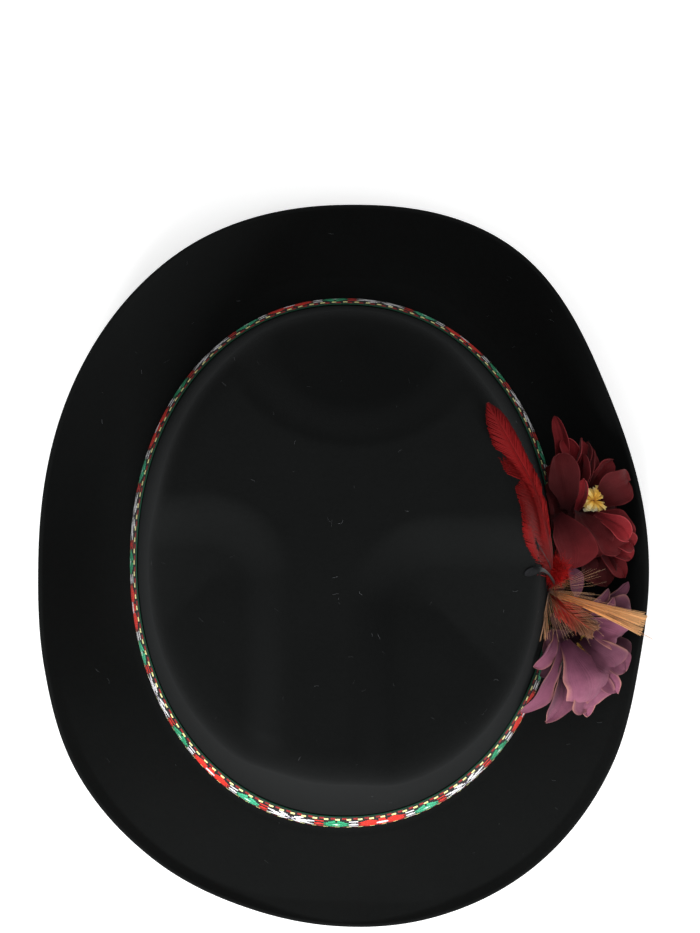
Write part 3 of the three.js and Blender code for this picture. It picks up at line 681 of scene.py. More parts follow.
@dataclass(frozen=True)
class StrandFinish:
    """Barbs, down and stamens: a colour stored along each strand, with a gloss of its own."""

    name: str
    roughness: float
    sheen: float = 0.05
    streak: float = 0.5
    gloss: float = 0.18

    def material(self) -> bpy.types.Material:
        """The strands' material."""
        paint = Paint(self.name)
        streaks = paint.noise(420.0, 2.0)
        fine = paint.noise(2400.0, 1.0)
        tone = streaks * self.streak + fine * 0.2 + (0.9 - self.streak / 2.0)
        colour = paint.shade(paint.attribute("strand"), tone)
        return paint.cover(
            {
                "Base Color": colour,
                "Roughness": streaks * 0.2 + (self.roughness - 0.1),
                "Specular IOR Level": self.gloss,
                "Sheen Weight": self.sheen,
                "Sheen Roughness": 0.4,
                "Normal": paint.bump(fine, 0.0001, 0.4),
            }
        )


class FeltBody:
    """The crown and brim in one piece of felt."""

    COLUMNS = 288
    EDGE = 0.75
    RINGS = {"brim": 50, "foot": 6, "wall": 24, "lip": 12, "top": 48}

    def __init__(self, form: HatForm, lay: Lay) -> None:
        """Keeps the hat's form and its lay."""
        self.form = form
        self.lay = lay

    def sheet(self) -> Array:
        """The outer face: columns round the hat, rings from the brim's edge to the middle."""
        form, rings = self.form, self.RINGS
        azimuth = np.arange(self.COLUMNS + 1) * 360.0 / self.COLUMNS
        x, y, across, along = form.outline(azimuth)
        rows: list[Array] = []
        reach = form.around(1, azimuth) * form.brim_width
        for ring in range(rings["brim"] + 1):
            out = mix(form.foot_radius, reach, 1.0 - ring / rings["brim"])
            height = form.brim_height(azimuth, out)
            rows.append(np.stack([x + across * out, y + along * out, height], -1))
        for ring in range(1, rings["foot"] + 1):
            turn = ring / rings["foot"] * math.pi / 2.0
            height = form.foot_radius * (1.0 - math.cos(turn))
            rows.append(form.wall_point(azimuth, height, form.foot_radius * (1.0 - math.sin(turn))))
        lip = form.lip_point(azimuth)
        for ring in range(1, rings["wall"] + 1):
            height = mix(form.foot_radius, lip[:, 2], ring / rings["wall"])
            rows.append(form.wall_point(azimuth, height))
        for ring in range(1, rings["lip"] + 1):
            share = ring / rings["lip"]
            turn = share * math.pi / 2.0
            inset = form.lip_radius * (1.0 - math.cos(turn))
            top_x, top_y = lip[:, 0] - across * inset, lip[:, 1] - along * inset
            rounded = lip[:, 2] + form.lip_radius * math.sin(turn)
            height = mix(rounded, form.crown_top(top_x, top_y), share * share)
            rows.append(np.stack([top_x, top_y, height], -1))
        last = rows[-1]
        for ring in range(1, rings["top"] + 1):
            share = 1.0 - ring / rings["top"]
            top_x, top_y = last[:, 0] * share, last[:, 1] * share
            rows.append(np.stack([top_x, top_y, form.crown_top(top_x, top_y)], -1))
        return np.stack(rows, 1)

    @staticmethod
    def sway(points: Array) -> Array:
        """The felt's own slow unevenness, in millimetres."""
        x, y = points[..., 0], points[..., 1]
        return 0.22 * np.sin(x / 11.0 + y / 17.0) + 0.16 * np.sin(y / 9.0 - x / 13.0 + 1.0)

    def build(self) -> bpy.types.Object:
        """Builds the felt.

        Returns:
            The felt piece.
        """
        sheet = self.sheet()
        rings = sheet.shape[1] - 1
        piece = Bench.grid("felt", self.COLUMNS, rings)
        points = sheet[Bench.cells(piece, self.COLUMNS, rings)]
        points[:, 2] += self.sway(points)
        points = self.lay.place(points)
        points[:, 2] = np.maximum(points[:, 2], self.form.wall * MM)
        Bench.shape(piece, points)
        Bench.weld(piece)
        Bench.thicken(piece, self.form.wall, -1.0)
        sharp = math.radians(60)
        rounding = self.EDGE * MM
        Bench.finish(
            piece, "BEVEL", width=rounding, segments=3, limit_method="ANGLE", angle_limit=sharp
        )
        points = coordinates(piece.data)
        points[:, 2] = np.maximum(points[:, 2], 0.0)
        Bench.shape(piece, points)
        Bench.smooth_shade(piece)
        seat(piece, "felt", FeltFinish().material(), "felt_body")
        return piece


class Thread(Enum):
    """The ribbon's thread colours."""

    GROUND = (0.007, 0.006, 0.007)
    WHITE = (0.88, 0.88, 0.9)
    RED = (0.74, 0.025, 0.012)
    WINE = (0.3, 0.012, 0.008)
    GREEN = (0.02, 0.38, 0.17)
    MOSS = (0.006, 0.06, 0.03)
    MINT = (0.05, 0.5, 0.26)
    CREAM = (0.9, 0.88, 0.36)
    PURPLE = (0.3, 0.26, 0.36)


@dataclass(frozen=True)
class Ribbon:
    """The woven ribbon: a charted repeat of star, leaf and blossom between dashed borders."""

    columns: int = 656
    shift: int = 58
    relief: float = 0.12
    cloth: float = 0.4
    bulge: float = 1.0
    border: tuple[float, ...] = (0.4, 0.8, 1.35, 1.35, 1.35, 0.8)
    samples: int = 3601
    letters: dict[str, Thread] = field(
        default_factory=lambda: {
            ".": Thread.GROUND,
            "#": Thread.WHITE,
            "W": Thread.WHITE,
            "R": Thread.RED,
            "D": Thread.PURPLE,
            "X": Thread.WINE,
            "P": Thread.PURPLE,
            "G": Thread.GREEN,
            "S": Thread.MOSS,
            "M": Thread.MINT,
            "Y": Thread.CREAM,
        }
    )
    star: tuple[str, ...] = (
        ".....##....",
        ".....###...",
        "......###..",
        "###...###..",
        "#####..##..",
        ".######.##.",
        "..######.#.",
        "...#####..P",
        ".....##..PP",
    )
    blossom: tuple[str, ...] = (
        "....RR...RR",
        "...RRRR..RR",
        "..RRRRRR.RR",
        ".RRRRRRR.RR",
        "RRRRRRRRRRR",
        ".RRRRRRRRRR",
        "..RRRRRRDWW",
        ".RRRRRRRWWW",
        "RRRRRRRRWWW",
    )
    leaf: tuple[str, ...] = (
        "....G.",
        "...GG.",
        "..GGG.",
        "..GGG.",
        ".GGG.G",
        "GGG.GG",
        "GG.GGG",
        ".GGGGW",
        "..GGWW",
    )
    knot: tuple[str, ...] = ("..", "BB", "BB", "..", "..", "..", ".B", "BB", "BB")

    @staticmethod
    def mirrored(quarter: Sequence[str], middle: bool) -> list[str]:
        """A whole motif from its upper left quarter, whose last row and column are its middle."""
        rows = [row + (row[::-1][1:] if middle else row[::-1]) for row in quarter]
        return rows + rows[::-1][1:]

    def chart(self) -> list[str]:
        """One repeat of the ribbon, row by row from the top."""
        beside_star = [row.replace("B", "R") for row in self.knot]
        beside_blossom = [row.replace("B", "W") for row in self.knot]
        parts = [
            self.mirrored(self.star, True),
            self.mirrored(beside_star, False),
            self.mirrored(self.leaf, True),
            self.mirrored(beside_blossom, False),
            self.mirrored(self.blossom, True),
            self.mirrored(beside_blossom, False),
            self.mirrored([row.replace("G", "M") for row in self.leaf], True),
            self.mirrored(beside_star, False),
        ]
        zone = ["".join(rows) for rows in zip(*parts)]
        width = len(zone[0])
        rope = [(row * width)[:width] for row in ("...XX", "YY.XX", "YY...")]
        blank = "." * width
        border = ["S" * width, blank, *rope, blank]
        return border + zone + border[::-1]

    def levels(self, height: int) -> Array:
        """Where each row of the chart starts, as a share of the ribbon's height."""
        inner = [1.0] * (height - 2 * len(self.border))
        edges = np.cumsum([0.0, *self.border, *inner, *self.border[::-1]])
        return edges / edges[-1]

    def build(self, form: HatForm, lay: Lay) -> bpy.types.Object:
        """Builds the ribbon round the crown's foot.

        Args:
            form: the hat's form.
            lay: the hat's lay.

        Returns:
            The ribbon piece.
        """
        chart = self.chart()
        height, columns = len(chart), self.columns
        azimuths = np.linspace(0.0, 360.0, self.samples)
        course = form.wall_point(azimuths, form.band_foot + form.band_height / 2.0)
        steps = np.linalg.norm(np.diff(course, axis=0), axis=1)
        length = np.concatenate([[0.0], np.cumsum(steps)])
        piece = Bench.grid("ribbon", columns, height)
        column, row = Bench.cells(piece, columns, height)
        azimuth = np.interp(column / columns * length[-1], length, azimuths)
        cells = np.array([[self.letters[letter].name for letter in line] for line in chart[::-1]])
        cells = cells[:, (np.arange(columns) - self.shift) % cells.shape[1]]
        raised = (cells != Thread.GROUND.name).astype(float)
        padded = np.pad(raised, ((1, 1), (0, 0)), mode="edge")
        beside = np.roll(padded, 1, 1)
        around = (padded[:-1] + padded[1:] + beside[:-1] + beside[1:]) / 4.0
        lift = around[row, column % columns] * self.relief
        level = self.levels(height)[row]
        belly = self.bulge * np.clip(np.sin(math.pi * level), 0.0, 1.0) ** 0.8
        out = form.band_gap + self.cloth + lift + belly
        up = form.band_foot + form.band_height * level
        Bench.shape(piece, lay.place(form.wall_point(azimuth, up, out)))
        self._colour(piece, cells)
        Bench.weld(piece)
        Bench.thicken(piece, self.cloth, -1.0)
        Bench.smooth_shade(piece)
        seat(piece, "ribbon", RibbonFinish().material(), "hat_band")
        return piece

    @staticmethod
    def _colour(piece: bpy.types.Object, cells: Array) -> None:
        """Gives each cell its thread's colour and a UV map with one unit a cell."""
        mesh = piece.data
        height, columns = cells.shape
        uv = np.zeros(len(mesh.loops) * 2, np.float32)
        layer = mesh.uv_layers.active
        layer.data.foreach_get("uv", uv)
        uv = uv.reshape(-1, 4, 2)
        centres = uv.mean(1)
        column = np.clip((centres[:, 0] * columns).astype(int), 0, columns - 1)
        row = np.clip((centres[:, 1] * height).astype(int), 0, height - 1)
        table = {thread.name: thread.value for thread in Thread}
        colours = np.array([[table[name] for name in line] for line in cells], float)
        chosen = colours[row, column]
        chance = np.random.default_rng(7)
        chosen = chosen * (1.0 + 0.16 * (chance.random((len(chosen), 1)) - 0.5))
        corner = np.repeat(np.concatenate([chosen, np.ones((len(chosen), 1))], 1), 4, 0)
        scaled = np.ascontiguousarray(uv * [columns, height], np.float32)
        layer.data.foreach_set("uv", scaled.ravel())
        attribute = mesh.attributes.new("thread", "FLOAT_COLOR", "CORNER")
        attribute.data.foreach_set("color", np.ascontiguousarray(corner, np.float32).ravel())


@dataclass(frozen=True)
class Petal:
    """One petal: its tip and base in the hat's frame in mm, its width and how it bends."""

    x: float
    y: float
    z: float
    width: float
    base: tuple[float, float, float]
    arch: float = 3.0
    roll: float = 0.0
    hollow: float = 0.3
    point: float = 0.5
    # Painted light and shade: how brightly the petal is lit, higher for near petals and lower for
    # petals deep in the flower.
    tone: float = 0.5
    curl: float = 0.0


@dataclass(frozen=True)
class Whorl:
    """A ring of like petals: how many, how long, how wide and how far open, in degrees."""

    count: int
    length: float
    width: float
    open: float
    start: float
    hollow: float
    # Painted light and shade: how brightly the whorl's petals are lit; the filling sits low, in
    # shade.
    tone: float


@dataclass(frozen=True)
class Flower:
    """A silk flower: a cup, its own placed petals, and whorls that fill it."""

    name: str
    node: str
    slot: str
    cup: tuple[float, float, float]
    axis: tuple[float, float, float]
    petals: tuple[Petal, ...]
    whorls: tuple[Whorl, ...]
    finish: SilkFinish
    seed: int
    columns: int = 14
    rows: int = 22
    gap: float = 0.7
    cloth: float = 0.28
    root: float = 3.2
    cup_gap: float = 0.4
    cup_radius: float = 5.4

    def filling(self) -> list[Petal]:
        """The whorls' petals."""
        axis, side, top = upright(self.axis)
        chance = np.random.default_rng(self.seed)
        rows: list[Petal] = []
        for whorl in self.whorls:
            for index in range(whorl.count):
                even = whorl.start + index * 360.0 / whorl.count
                turn = math.radians(even + 16.0 * (chance.random() - 0.5))
                opened = math.radians(whorl.open + 14.0 * (chance.random() - 0.5))
                length = whorl.length * (0.88 + 0.24 * chance.random())
                spoke = side * math.cos(turn) + top * math.sin(turn)
                lean = spoke * math.sin(opened) + axis * math.cos(opened)
                tip = np.array(self.cup) + length * lean
                base = np.array(self.cup) + self.root * lean
                roll = 36.0 * (chance.random() - 0.5)
                rows.append(
                    Petal(
                        *tip,
                        whorl.width,
                        tuple(base),
                        arch=2.5,
                        roll=roll,
                        hollow=whorl.hollow,
                        point=0.5 + 0.5 * chance.random(),
                        # Painted light and shade: the filling petal's tone, dark as it lies in
                        # shade, with a random spread.
                        tone=whorl.tone + 0.3 * (chance.random() - 0.5),
                        curl=2.0 * chance.random(),
                    )
                )
        return rows

    def petal_points(self, petal: Petal, flat: Array, chance: np.random.Generator) -> Array:
        """The petal's vertices in the hat's frame, from a flat grid of side one."""
        axis = unit(np.array(self.axis, float))
        across_share = flat[:, 0] * 2.0
        along = mix(flat[:, 1] + 0.5, 0.5 - 0.5 * np.cos(math.pi * (flat[:, 1] + 0.5)), 0.6)
        start, tip = np.array(petal.base, float), np.array([petal.x, petal.y, petal.z])
        bulge = unit(axis + 0.8 * UP)
        middle = (start + tip) / 2.0 + bulge * petal.arch * 2.0
        share = along[:, None]
        curve = bow(start, middle, tip, share)
        tangent = unit(2 * (1 - share) * (middle - start) + 2 * share * (tip - middle))
        sideways = unit(np.cross(tangent, bulge))
        roll = math.radians(petal.roll)
        sideways = turned(sideways, tangent, roll)
        normal = np.cross(sideways, tangent)
        wave = chance.random(7) * 2.0 * math.pi
        peak = 0.56 + 0.12 * chance.random()
        rising = 0.24 + 0.76 * np.sin(np.minimum(along / peak, 1.0) * math.pi / 2.0) ** 1.3
        past = np.clip((along - peak) / (1.0 - peak), 0.0, 1.0)
        closing = (1.0 - past**2.2) ** petal.point
        ripple = 1.0 + 0.07 * np.sin(along * 10.0 + wave[3] + 2.2 * across_share)
        half = petal.width / 2.0 * rising * closing * ripple
        skew = 0.1 * petal.width * math.sin(wave[4]) * smooth(along * 1.4) * np.sin(math.pi * along)
        edge = np.abs(across_share)
        ruffle = 0.8 * np.sin(along * 9.0 + wave[0]) + 0.5 * np.sin(along * 19.0 + wave[1])
        ruffle = ruffle * edge**2.5 * smooth(along * 1.6) * petal.width / 20.0
        crease_at = 0.55 * math.sin(wave[5])
        beside = ((across_share - crease_at * along) / 0.14) ** 2
        crease = -0.55 * np.exp(-beside) * smooth(along * 3.0)
        pleat = 0.14 * np.sin(across_share * 10.0 + wave[2]) * smooth(along * 2.0)
        pleat = pleat * (1.0 - along * 0.5)
        warp = 0.07 * petal.width * np.sin(along * 4.5 + wave[6]) * across_share
        hollow = petal.hollow * across_share**2 * half
        tip_bend = petal.curl * smooth((along - 0.6) / 0.4) ** 1.5
        lift = hollow + ruffle + pleat + crease + warp - tip_bend
        return curve + sideways * (across_share * half + skew)[:, None] + normal * lift[:, None]

    def build(self, form: HatForm, lay: Lay) -> bpy.types.Object:
        """Builds the flower.

        Args:
            form: the hat's form.
            lay: the hat's lay.

        Returns:
            The flower piece.
        """
        pattern = Bench.grid("petal", self.columns, self.rows)
        flat = coordinates(pattern.data)
        chance = np.random.default_rng(self.seed + 1)
        made = [self._cup(form, lay)]
        for petal in [*self.petals, *self.filling()]:
            piece = Bench.copy(pattern, "petal")
            points = form.clear(self.petal_points(petal, flat, chance), self.gap)
            Bench.shape(piece, lay.place(points))
            along = flat[:, 1] + 0.5
            rim = np.maximum(np.abs(flat[:, 0] * 2.0), along**4)
            # Painted light and shade: the petal's tone, with a small random spread, stored for the
            # material.
            tone = np.full(len(flat), petal.tone + 0.12 * (chance.random() - 0.5))
            Bench.paint(piece, "petal", np.stack([along, rim, tone], -1))
            Bench.thicken(piece, self.cloth)
            made.append(piece)
        bpy.data.objects.remove(pattern)
        whole = Bench.join(made, self.name)
        Bench.smooth_shade(whole, 55.0)
        seat(whole, self.slot, self.finish.material(), self.node)
        return whole

    def _cup(self, form: HatForm, lay: Lay) -> bpy.types.Object:
        """The wrapped cup that the petals grow from."""
        bpy.ops.object.select_all(action="DESELECT")
        bpy.ops.mesh.primitive_uv_sphere_add(segments=20, ring_count=12, radius=1.0)
        piece = bpy.context.object
        Bench.sort(piece)
        ball = coordinates(piece.data)
        folds = 1.0 + 0.06 * np.sin(np.arctan2(ball[:, 1], ball[:, 0]) * 7.0)
        points = np.array(self.cup) + ball * (self.cup_radius * folds[:, None])
        Bench.shape(piece, lay.place(form.clear(points, self.cup_gap)))
        # Painted shade: the cup takes the petals' dark foot colour and a low tone, as it sits in
        # shade inside the flower.
        Bench.paint(piece, "petal", np.tile([0.1, 0.2, 0.35], (len(ball), 1)))
        return piece


class Strands:
    """One strand modelled once: a three-sided rod in even steps, laid along many paths."""

    def __init__(self, steps: int, sides: int = 3) -> None:
        """Models the strand.

        Args:
            steps: pieces along its length.
            sides: sides round it.
        """
        self.steps = steps
        bpy.ops.object.select_all(action="DESELECT")
        bpy.ops.mesh.primitive_cylinder_add(vertices=sides, radius=0.5, depth=1.0)
        rod = bpy.context.object
        bpy.ops.object.mode_set(mode="EDIT")
        for step in range(1, steps):
            bpy.ops.mesh.select_all(action="SELECT")
            bpy.ops.mesh.bisect(plane_co=(0.0, 0.0, step / steps - 0.5), plane_no=(0.0, 0.0, 1.0))
        bpy.ops.object.mode_set(mode="OBJECT")
        points = coordinates(rod.data)
        self.ring = np.rint((points[:, 2] + 0.5) * steps).astype(int)
        self.offset = points[:, :2]
        self.faces = [tuple(face.vertices) for face in rod.data.polygons]
        bpy.data.objects.remove(rod)

    def lay(
        self, name: str, paths: Array, faces: Array, widths: Array, depths: Array, colours: Array
    ) -> bpy.types.Object:
        """Lays a strand along each path and makes them one piece.

        Args:
            name: the piece's name.
            paths: points in metres, by strand and ring.
            faces: the direction that each strand's flat side looks, by strand and ring.
            widths: widths in metres, by strand and ring.
            depths: thicknesses in metres, by strand and ring.
            colours: linear colours, by strand and ring.

        Returns:
            The piece.
        """
        tangent = unit(np.gradient(paths, axis=1))
        wide = unit(np.cross(tangent, faces))
        thin = unit(np.cross(wide, tangent))
        ring = self.ring
        points = (
            paths[:, ring]
            + wide[:, ring] * (self.offset[:, 0] * widths[:, ring])[..., None]
            + thin[:, ring] * (self.offset[:, 1] * depths[:, ring])[..., None]
        )
        count = points.shape[1]
        faces_all = [
            tuple(corner + strand * count for corner in face)
            for strand in range(len(paths))
            for face in self.faces
        ]
        mesh = bpy.data.meshes.new(name)
        mesh.from_pydata(points.reshape(-1, 3).tolist(), [], faces_all)
        piece = bpy.data.objects.new(name, mesh)
        bpy.context.scene.collection.objects.link(piece)
        Bench.paint(piece, "strand", colours[:, ring].reshape(-1, 3))
        mesh.shade_smooth()
        return piece

    def single(self, name: str, path: Array, girth: Array, colour: Colour) -> bpy.types.Object:
        """Lays one round strand of one colour along a path in metres."""
        rows = (1, len(path), 1)
        face, shade = np.tile(SHAFT_FACE, rows), np.tile(colour, rows)
        return self.lay(name, path[None], face, girth[None], girth[None], shade)


def blend(stops: Sequence[Colour], share: Array) -> Array:
    """Colours from evenly spaced stops at shares from 0 to 1."""
    rows = np.array(stops, float)
    places = np.linspace(0.0, 1.0, len(rows))
    return np.stack([np.interp(share, places, rows[:, channel]) for channel in range(3)], -1)


@dataclass(frozen=True)
class Plume:
    """A feather with a shaft and barbs on both sides.

    Each station gives x, y and z in the hat's frame, the vane's width to the left and to the right
    in mm, and how far the vane looks up: 0 out from the wall and 1 straight up.
    """

    name: str
    node: str
    slot: str
    stations: tuple[tuple[float, ...], ...]
    stops: tuple[Colour, ...]
    shaft_colour: Colour
    barbs: int
    seed: int
    shaft: float
    loose: float
    start: float = 0.06
    reach: float = 9.0
    barb: float = 0.62
    notches: tuple[tuple[int, float, float, float], ...] = ()
    gap: float = 0.5
    barb_gap: float = 0.45
    finish: StrandFinish = StrandFinish("feather_red", 0.65, 0.0, 0.4, 0.07)

    def build(self, form: HatForm, lay: Lay, barb: Strands, rod: Strands) -> bpy.types.Object:
        """Builds the feather.

        Args:
            form: the hat's form.
            lay: the hat's lay.
            barb: the strand for the barbs.
            rod: the rod for the shaft.

        Returns:
            The feather piece.
        """
        rows = np.array(self.stations, float)
        chance = np.random.default_rng(self.seed)
        length = np.sum(np.linalg.norm(np.diff(rows[:, :3], axis=0), axis=1))
        vanes = [self._vane(side, rows, length, form, lay, barb, chance) for side in (-1, 1)]
        share = np.linspace(0.0, 0.97, rod.steps + 1)
        spine = spline(rows, share)[:, :3]
        spine = form.clear(spine, self.gap, over=True)
        girth = self.shaft * (1.0 - 0.82 * share) * MM
        shaft = rod.single(self.name, lay.place(spine), girth, self.shaft_colour)
        whole = Bench.join([shaft, *vanes], self.name)
        seat(whole, self.slot, self.finish.material(), self.node)
        return whole

    def _vane(
        self,
        side: int,
        rows: Array,
        length: float,
        form: HatForm,
        lay: Lay,
        barb: Strands,
        chance: np.random.Generator,
    ) -> bpy.types.Object:
        """The barbs of one side."""
        share = self.start + (0.985 - self.start) * (np.arange(self.barbs) + 0.5) / self.barbs
        forward = np.minimum(self.reach / length, (1.0 - share) * 0.9)
        forward = forward * (0.9 + 0.2 * chance.random(self.barbs))
        end_share = np.minimum(share + forward, 0.998)
        begin, end = spline(rows, share), spline(rows, end_share)
        ahead, behind = spline(rows, end_share + 0.01), spline(rows, end_share - 0.01)
        tangent = unit((ahead - behind)[:, :3])
        outward = unit(begin[:, :3] * AWAY)
        face = unit(mix(outward, UP, np.clip(end[:, 5:6], 0.0, 1.0)))
        across = unit(np.cross(tangent, face)) * side
        width = end[:, 3 if side < 0 else 4] * (0.93 + 0.1 * chance.random(self.barbs))
        for notch_side, place, spread, depth in self.notches:
            if notch_side == side:
                width = width * (1.0 - depth * np.exp(-(((end_share - place) / spread) ** 2)))
        stray = chance.normal(0.0, self.loose, (self.barbs, 3))
        tips = end[:, :3] + across * width[:, None] + stray
        bend = begin[:, :3] * 0.45 + end[:, :3] * 0.1 + tips * 0.45 + across * width[:, None] * 0.12
        along = np.linspace(0.0, 1.0, barb.steps + 1)[None, :, None]
        path = bow(begin[:, None, :3], bend[:, None], tips[:, None], along)
        droop = 0.35 * np.sin(chance.random(self.barbs) * 6.28)
        path = path - face[:, None] * (along**2 * (0.6 + droop[:, None, None]))
        path = form.clear(path.reshape(-1, 3), self.barb_gap, over=True).reshape(path.shape)
        taper = (1.0 - 0.55 * along[..., 0] ** 3) * np.ones((self.barbs, 1))
        shares = np.broadcast_to(along[..., 0], (self.barbs, barb.steps + 1))
        place = mix(share[:, None], end_share[:, None], shares)
        colours = blend(self.stops, place) * (0.88 + 0.24 * chance.random((self.barbs, 1, 1)))
        return barb.lay(
            self.name,
            lay.place(path),
            np.broadcast_to(face[:, None], path.shape),
            self.barb * MM * taper,
            0.14 * MM * taper,
            colours,
        )


@dataclass(frozen=True)
class Spray:
    """A bundle of straw-like strands from one place to another.

    Opened is the share of the spread that the bundle has half way along.
    """

    start: tuple[float, float, float]
    end: tuple[float, float, float]
    spread: tuple[float, float]
    count: int
    arch: float
    loose: float
    width: float
    ragged: float
    opened: float
    stops: tuple[Colour, ...]
    gap: float = 0.6

    def strands(self, form: HatForm, lay: Lay, rod: Strands, seed: int) -> bpy.types.Object:
        """Lays the bundle's strands."""
        chance = np.random.default_rng(seed)
        start, end = np.array(self.start), np.array(self.end)
        course = unit(end - start)
        across = unit(np.cross(course, UP))
        up = np.cross(across, course)
        place = chance.uniform(-0.5, 0.5, self.count)
        stray = chance.normal(0.0, self.loose, (self.count, 2))
        first = start + across * (place * self.spread[0])[:, None]
        first = first + up * chance.normal(0, 0.4, (self.count, 1))
        side = (place + stray[:, 0]) * self.spread[1]
        rise = stray[:, 1] * self.spread[1] * 0.6
        short = 1.0 - self.ragged * chance.random(self.count) ** 2
        last = start + (end - start) * short[:, None] + across * side[:, None] + up * rise[:, None]
        middle = (first + last) / 2.0 + up * (self.arch + chance.normal(0, 0.5, (self.count, 1)))
        middle = middle - across * (side * (0.5 - self.opened))[:, None]
        along = np.linspace(0.0, 1.0, rod.steps + 1)[None, :, None]
        path = bow(first[:, None], middle[:, None], last[:, None], along)
        path = form.clear(path.reshape(-1, 3), self.gap).reshape(path.shape)
        taper = np.ones((self.count, 1)) * (1.0 - 0.5 * along[..., 0])
        shares = np.broadcast_to(along[..., 0], (self.count, rod.steps + 1))
        colours = blend(self.stops, shares) * (0.7 + 0.6 * chance.random((self.count, 1, 1)))
        return rod.lay(
            "spray",
            lay.place(path),
            np.broadcast_to(up, path.shape),
            self.width * MM * taper,
            0.16 * MM * taper,
            colours,
        )


@dataclass(frozen=True)
class Tuft:
    """Red down at the foot of the feathers."""

    root: tuple[float, float, float] = (80.3, -4.6, 57.0)
    count: int = 2200
    length: tuple[float, float] = (2.0, 7.6)
    stops: tuple[Colour, ...] = (
        (0.26, 0.0015, 0.0015),
        (0.38, 0.003, 0.0025),
        (0.42, 0.006, 0.005),
    )
    seed: int = 23
    gap: float = 0.5

    def build(self, form: HatForm, lay: Lay, rod: Strands) -> bpy.types.Object:
        """Builds the tuft."""
        chance = np.random.default_rng(self.seed)
        lean = np.array([-0.1, 0.1, 1.0])
        aim = unit(chance.normal(0.0, 0.72, (self.count, 3)) + lean)
        root = np.array(self.root) + chance.normal(0.0, 1.1, (self.count, 3))
        length = chance.uniform(*self.length, (self.count, 1))
        tip = root + aim * length
        middle = (root + tip) / 2.0 + chance.normal(0.0, 1.3, (self.count, 3))
        along = np.linspace(0.0, 1.0, rod.steps + 1)[None, :, None]
        path = bow(root[:, None], middle[:, None], tip[:, None], along)
        path = form.clear(path.reshape(-1, 3), self.gap, over=True).reshape(path.shape)
        taper = np.ones((self.count, 1)) * (1.0 - 0.7 * along[..., 0])
        shares = np.broadcast_to(along[..., 0], (self.count, rod.steps + 1))
        colours = blend(self.stops, shares) * (0.6 + 0.6 * chance.random((self.count, 1, 1)))
        piece = rod.lay(
            "down_tuft",
            lay.place(path),
            np.broadcast_to(unit(np.cross(aim, [0.3, 0.8, 0.2]))[:, None], path.shape),
            0.22 * MM * taper,
            0.14 * MM * taper,
            colours,
        )
        seat(piece, "down_red", StrandFinish("down_red", 0.8, 0.0).material(), "down_red")
        return piece


@dataclass(frozen=True)
class Stamens:
    """The frilly centre of a flower: curled slips round a middle."""

    name: str
    node: str
    slot: str
    centre: tuple[float, float, float]
    axis: tuple[float, float, float]
    stops: tuple[Colour, ...]
    seed: int
    count: int
    radius: float
    length: float
    cloth: float = 0.35
    gap: float = 0.4

    def build(self, form: HatForm, lay: Lay) -> bpy.types.Object:
        """Builds the slips."""
        pattern = Bench.grid("slip", 5, 9)
        flat = coordinates(pattern.data)
        chance = np.random.default_rng(self.seed)
        axis, side, top = upright(self.axis)
        made = []
        for index in range(self.count):
            piece = Bench.copy(pattern, "slip")
            turn = index * 2.4 + chance.random()
            reach = self.radius * math.sqrt((index + 0.5) / self.count)
            spoke = side * math.cos(turn) + top * math.sin(turn)
            across = np.cross(axis, spoke)
            along = flat[:, 1] + 0.5
            share = flat[:, 0] * 2.0
            length = self.length * (0.65 + 0.5 * chance.random())
            half = 0.3 + 0.75 * along * (0.7 + 0.6 * chance.random())
            half = half * np.sqrt(1.0 - 0.85 * np.clip((along - 0.75) / 0.25, 0.0, 1.0) ** 2)
            roll = chance.uniform(-0.9, 0.9)
            bend = chance.uniform(1.6, 3.2)
            fold = 0.55 * share**2 * half + 0.2 * np.sin(along * 12.0 + index) * along
            lean = 0.35 + 0.75 * reach / self.radius
            far = (math.cos(lean) - np.cos(lean + bend * along)) / bend * length
            high = (np.sin(lean + bend * along) - math.sin(lean)) / bend * length
            points = (
                np.array(self.centre)
                + spoke * (reach * 0.35 + far + fold)[:, None]
                + axis * high[:, None]
                + (across * math.cos(roll) + axis * math.sin(roll) * 0.5) * (share * half)[:, None]
            )
            Bench.shape(piece, lay.place(form.clear(points, self.gap)))
            warm = chance.random()
            colours = blend(self.stops, np.clip(along * (0.55 + 0.75 * warm), 0.0, 1.0))
            Bench.paint(piece, "strand", colours * (0.85 + 0.3 * chance.random()))
            Bench.thicken(piece, self.cloth)
            made.append(piece)
        bpy.data.objects.remove(pattern)
        whole = Bench.join(made, self.name)
        Bench.smooth_shade(whole)
        finish = StrandFinish(self.name, 0.6, 0.2, 0.35)
        seat(whole, self.slot, finish.material(), self.node)
        return whole


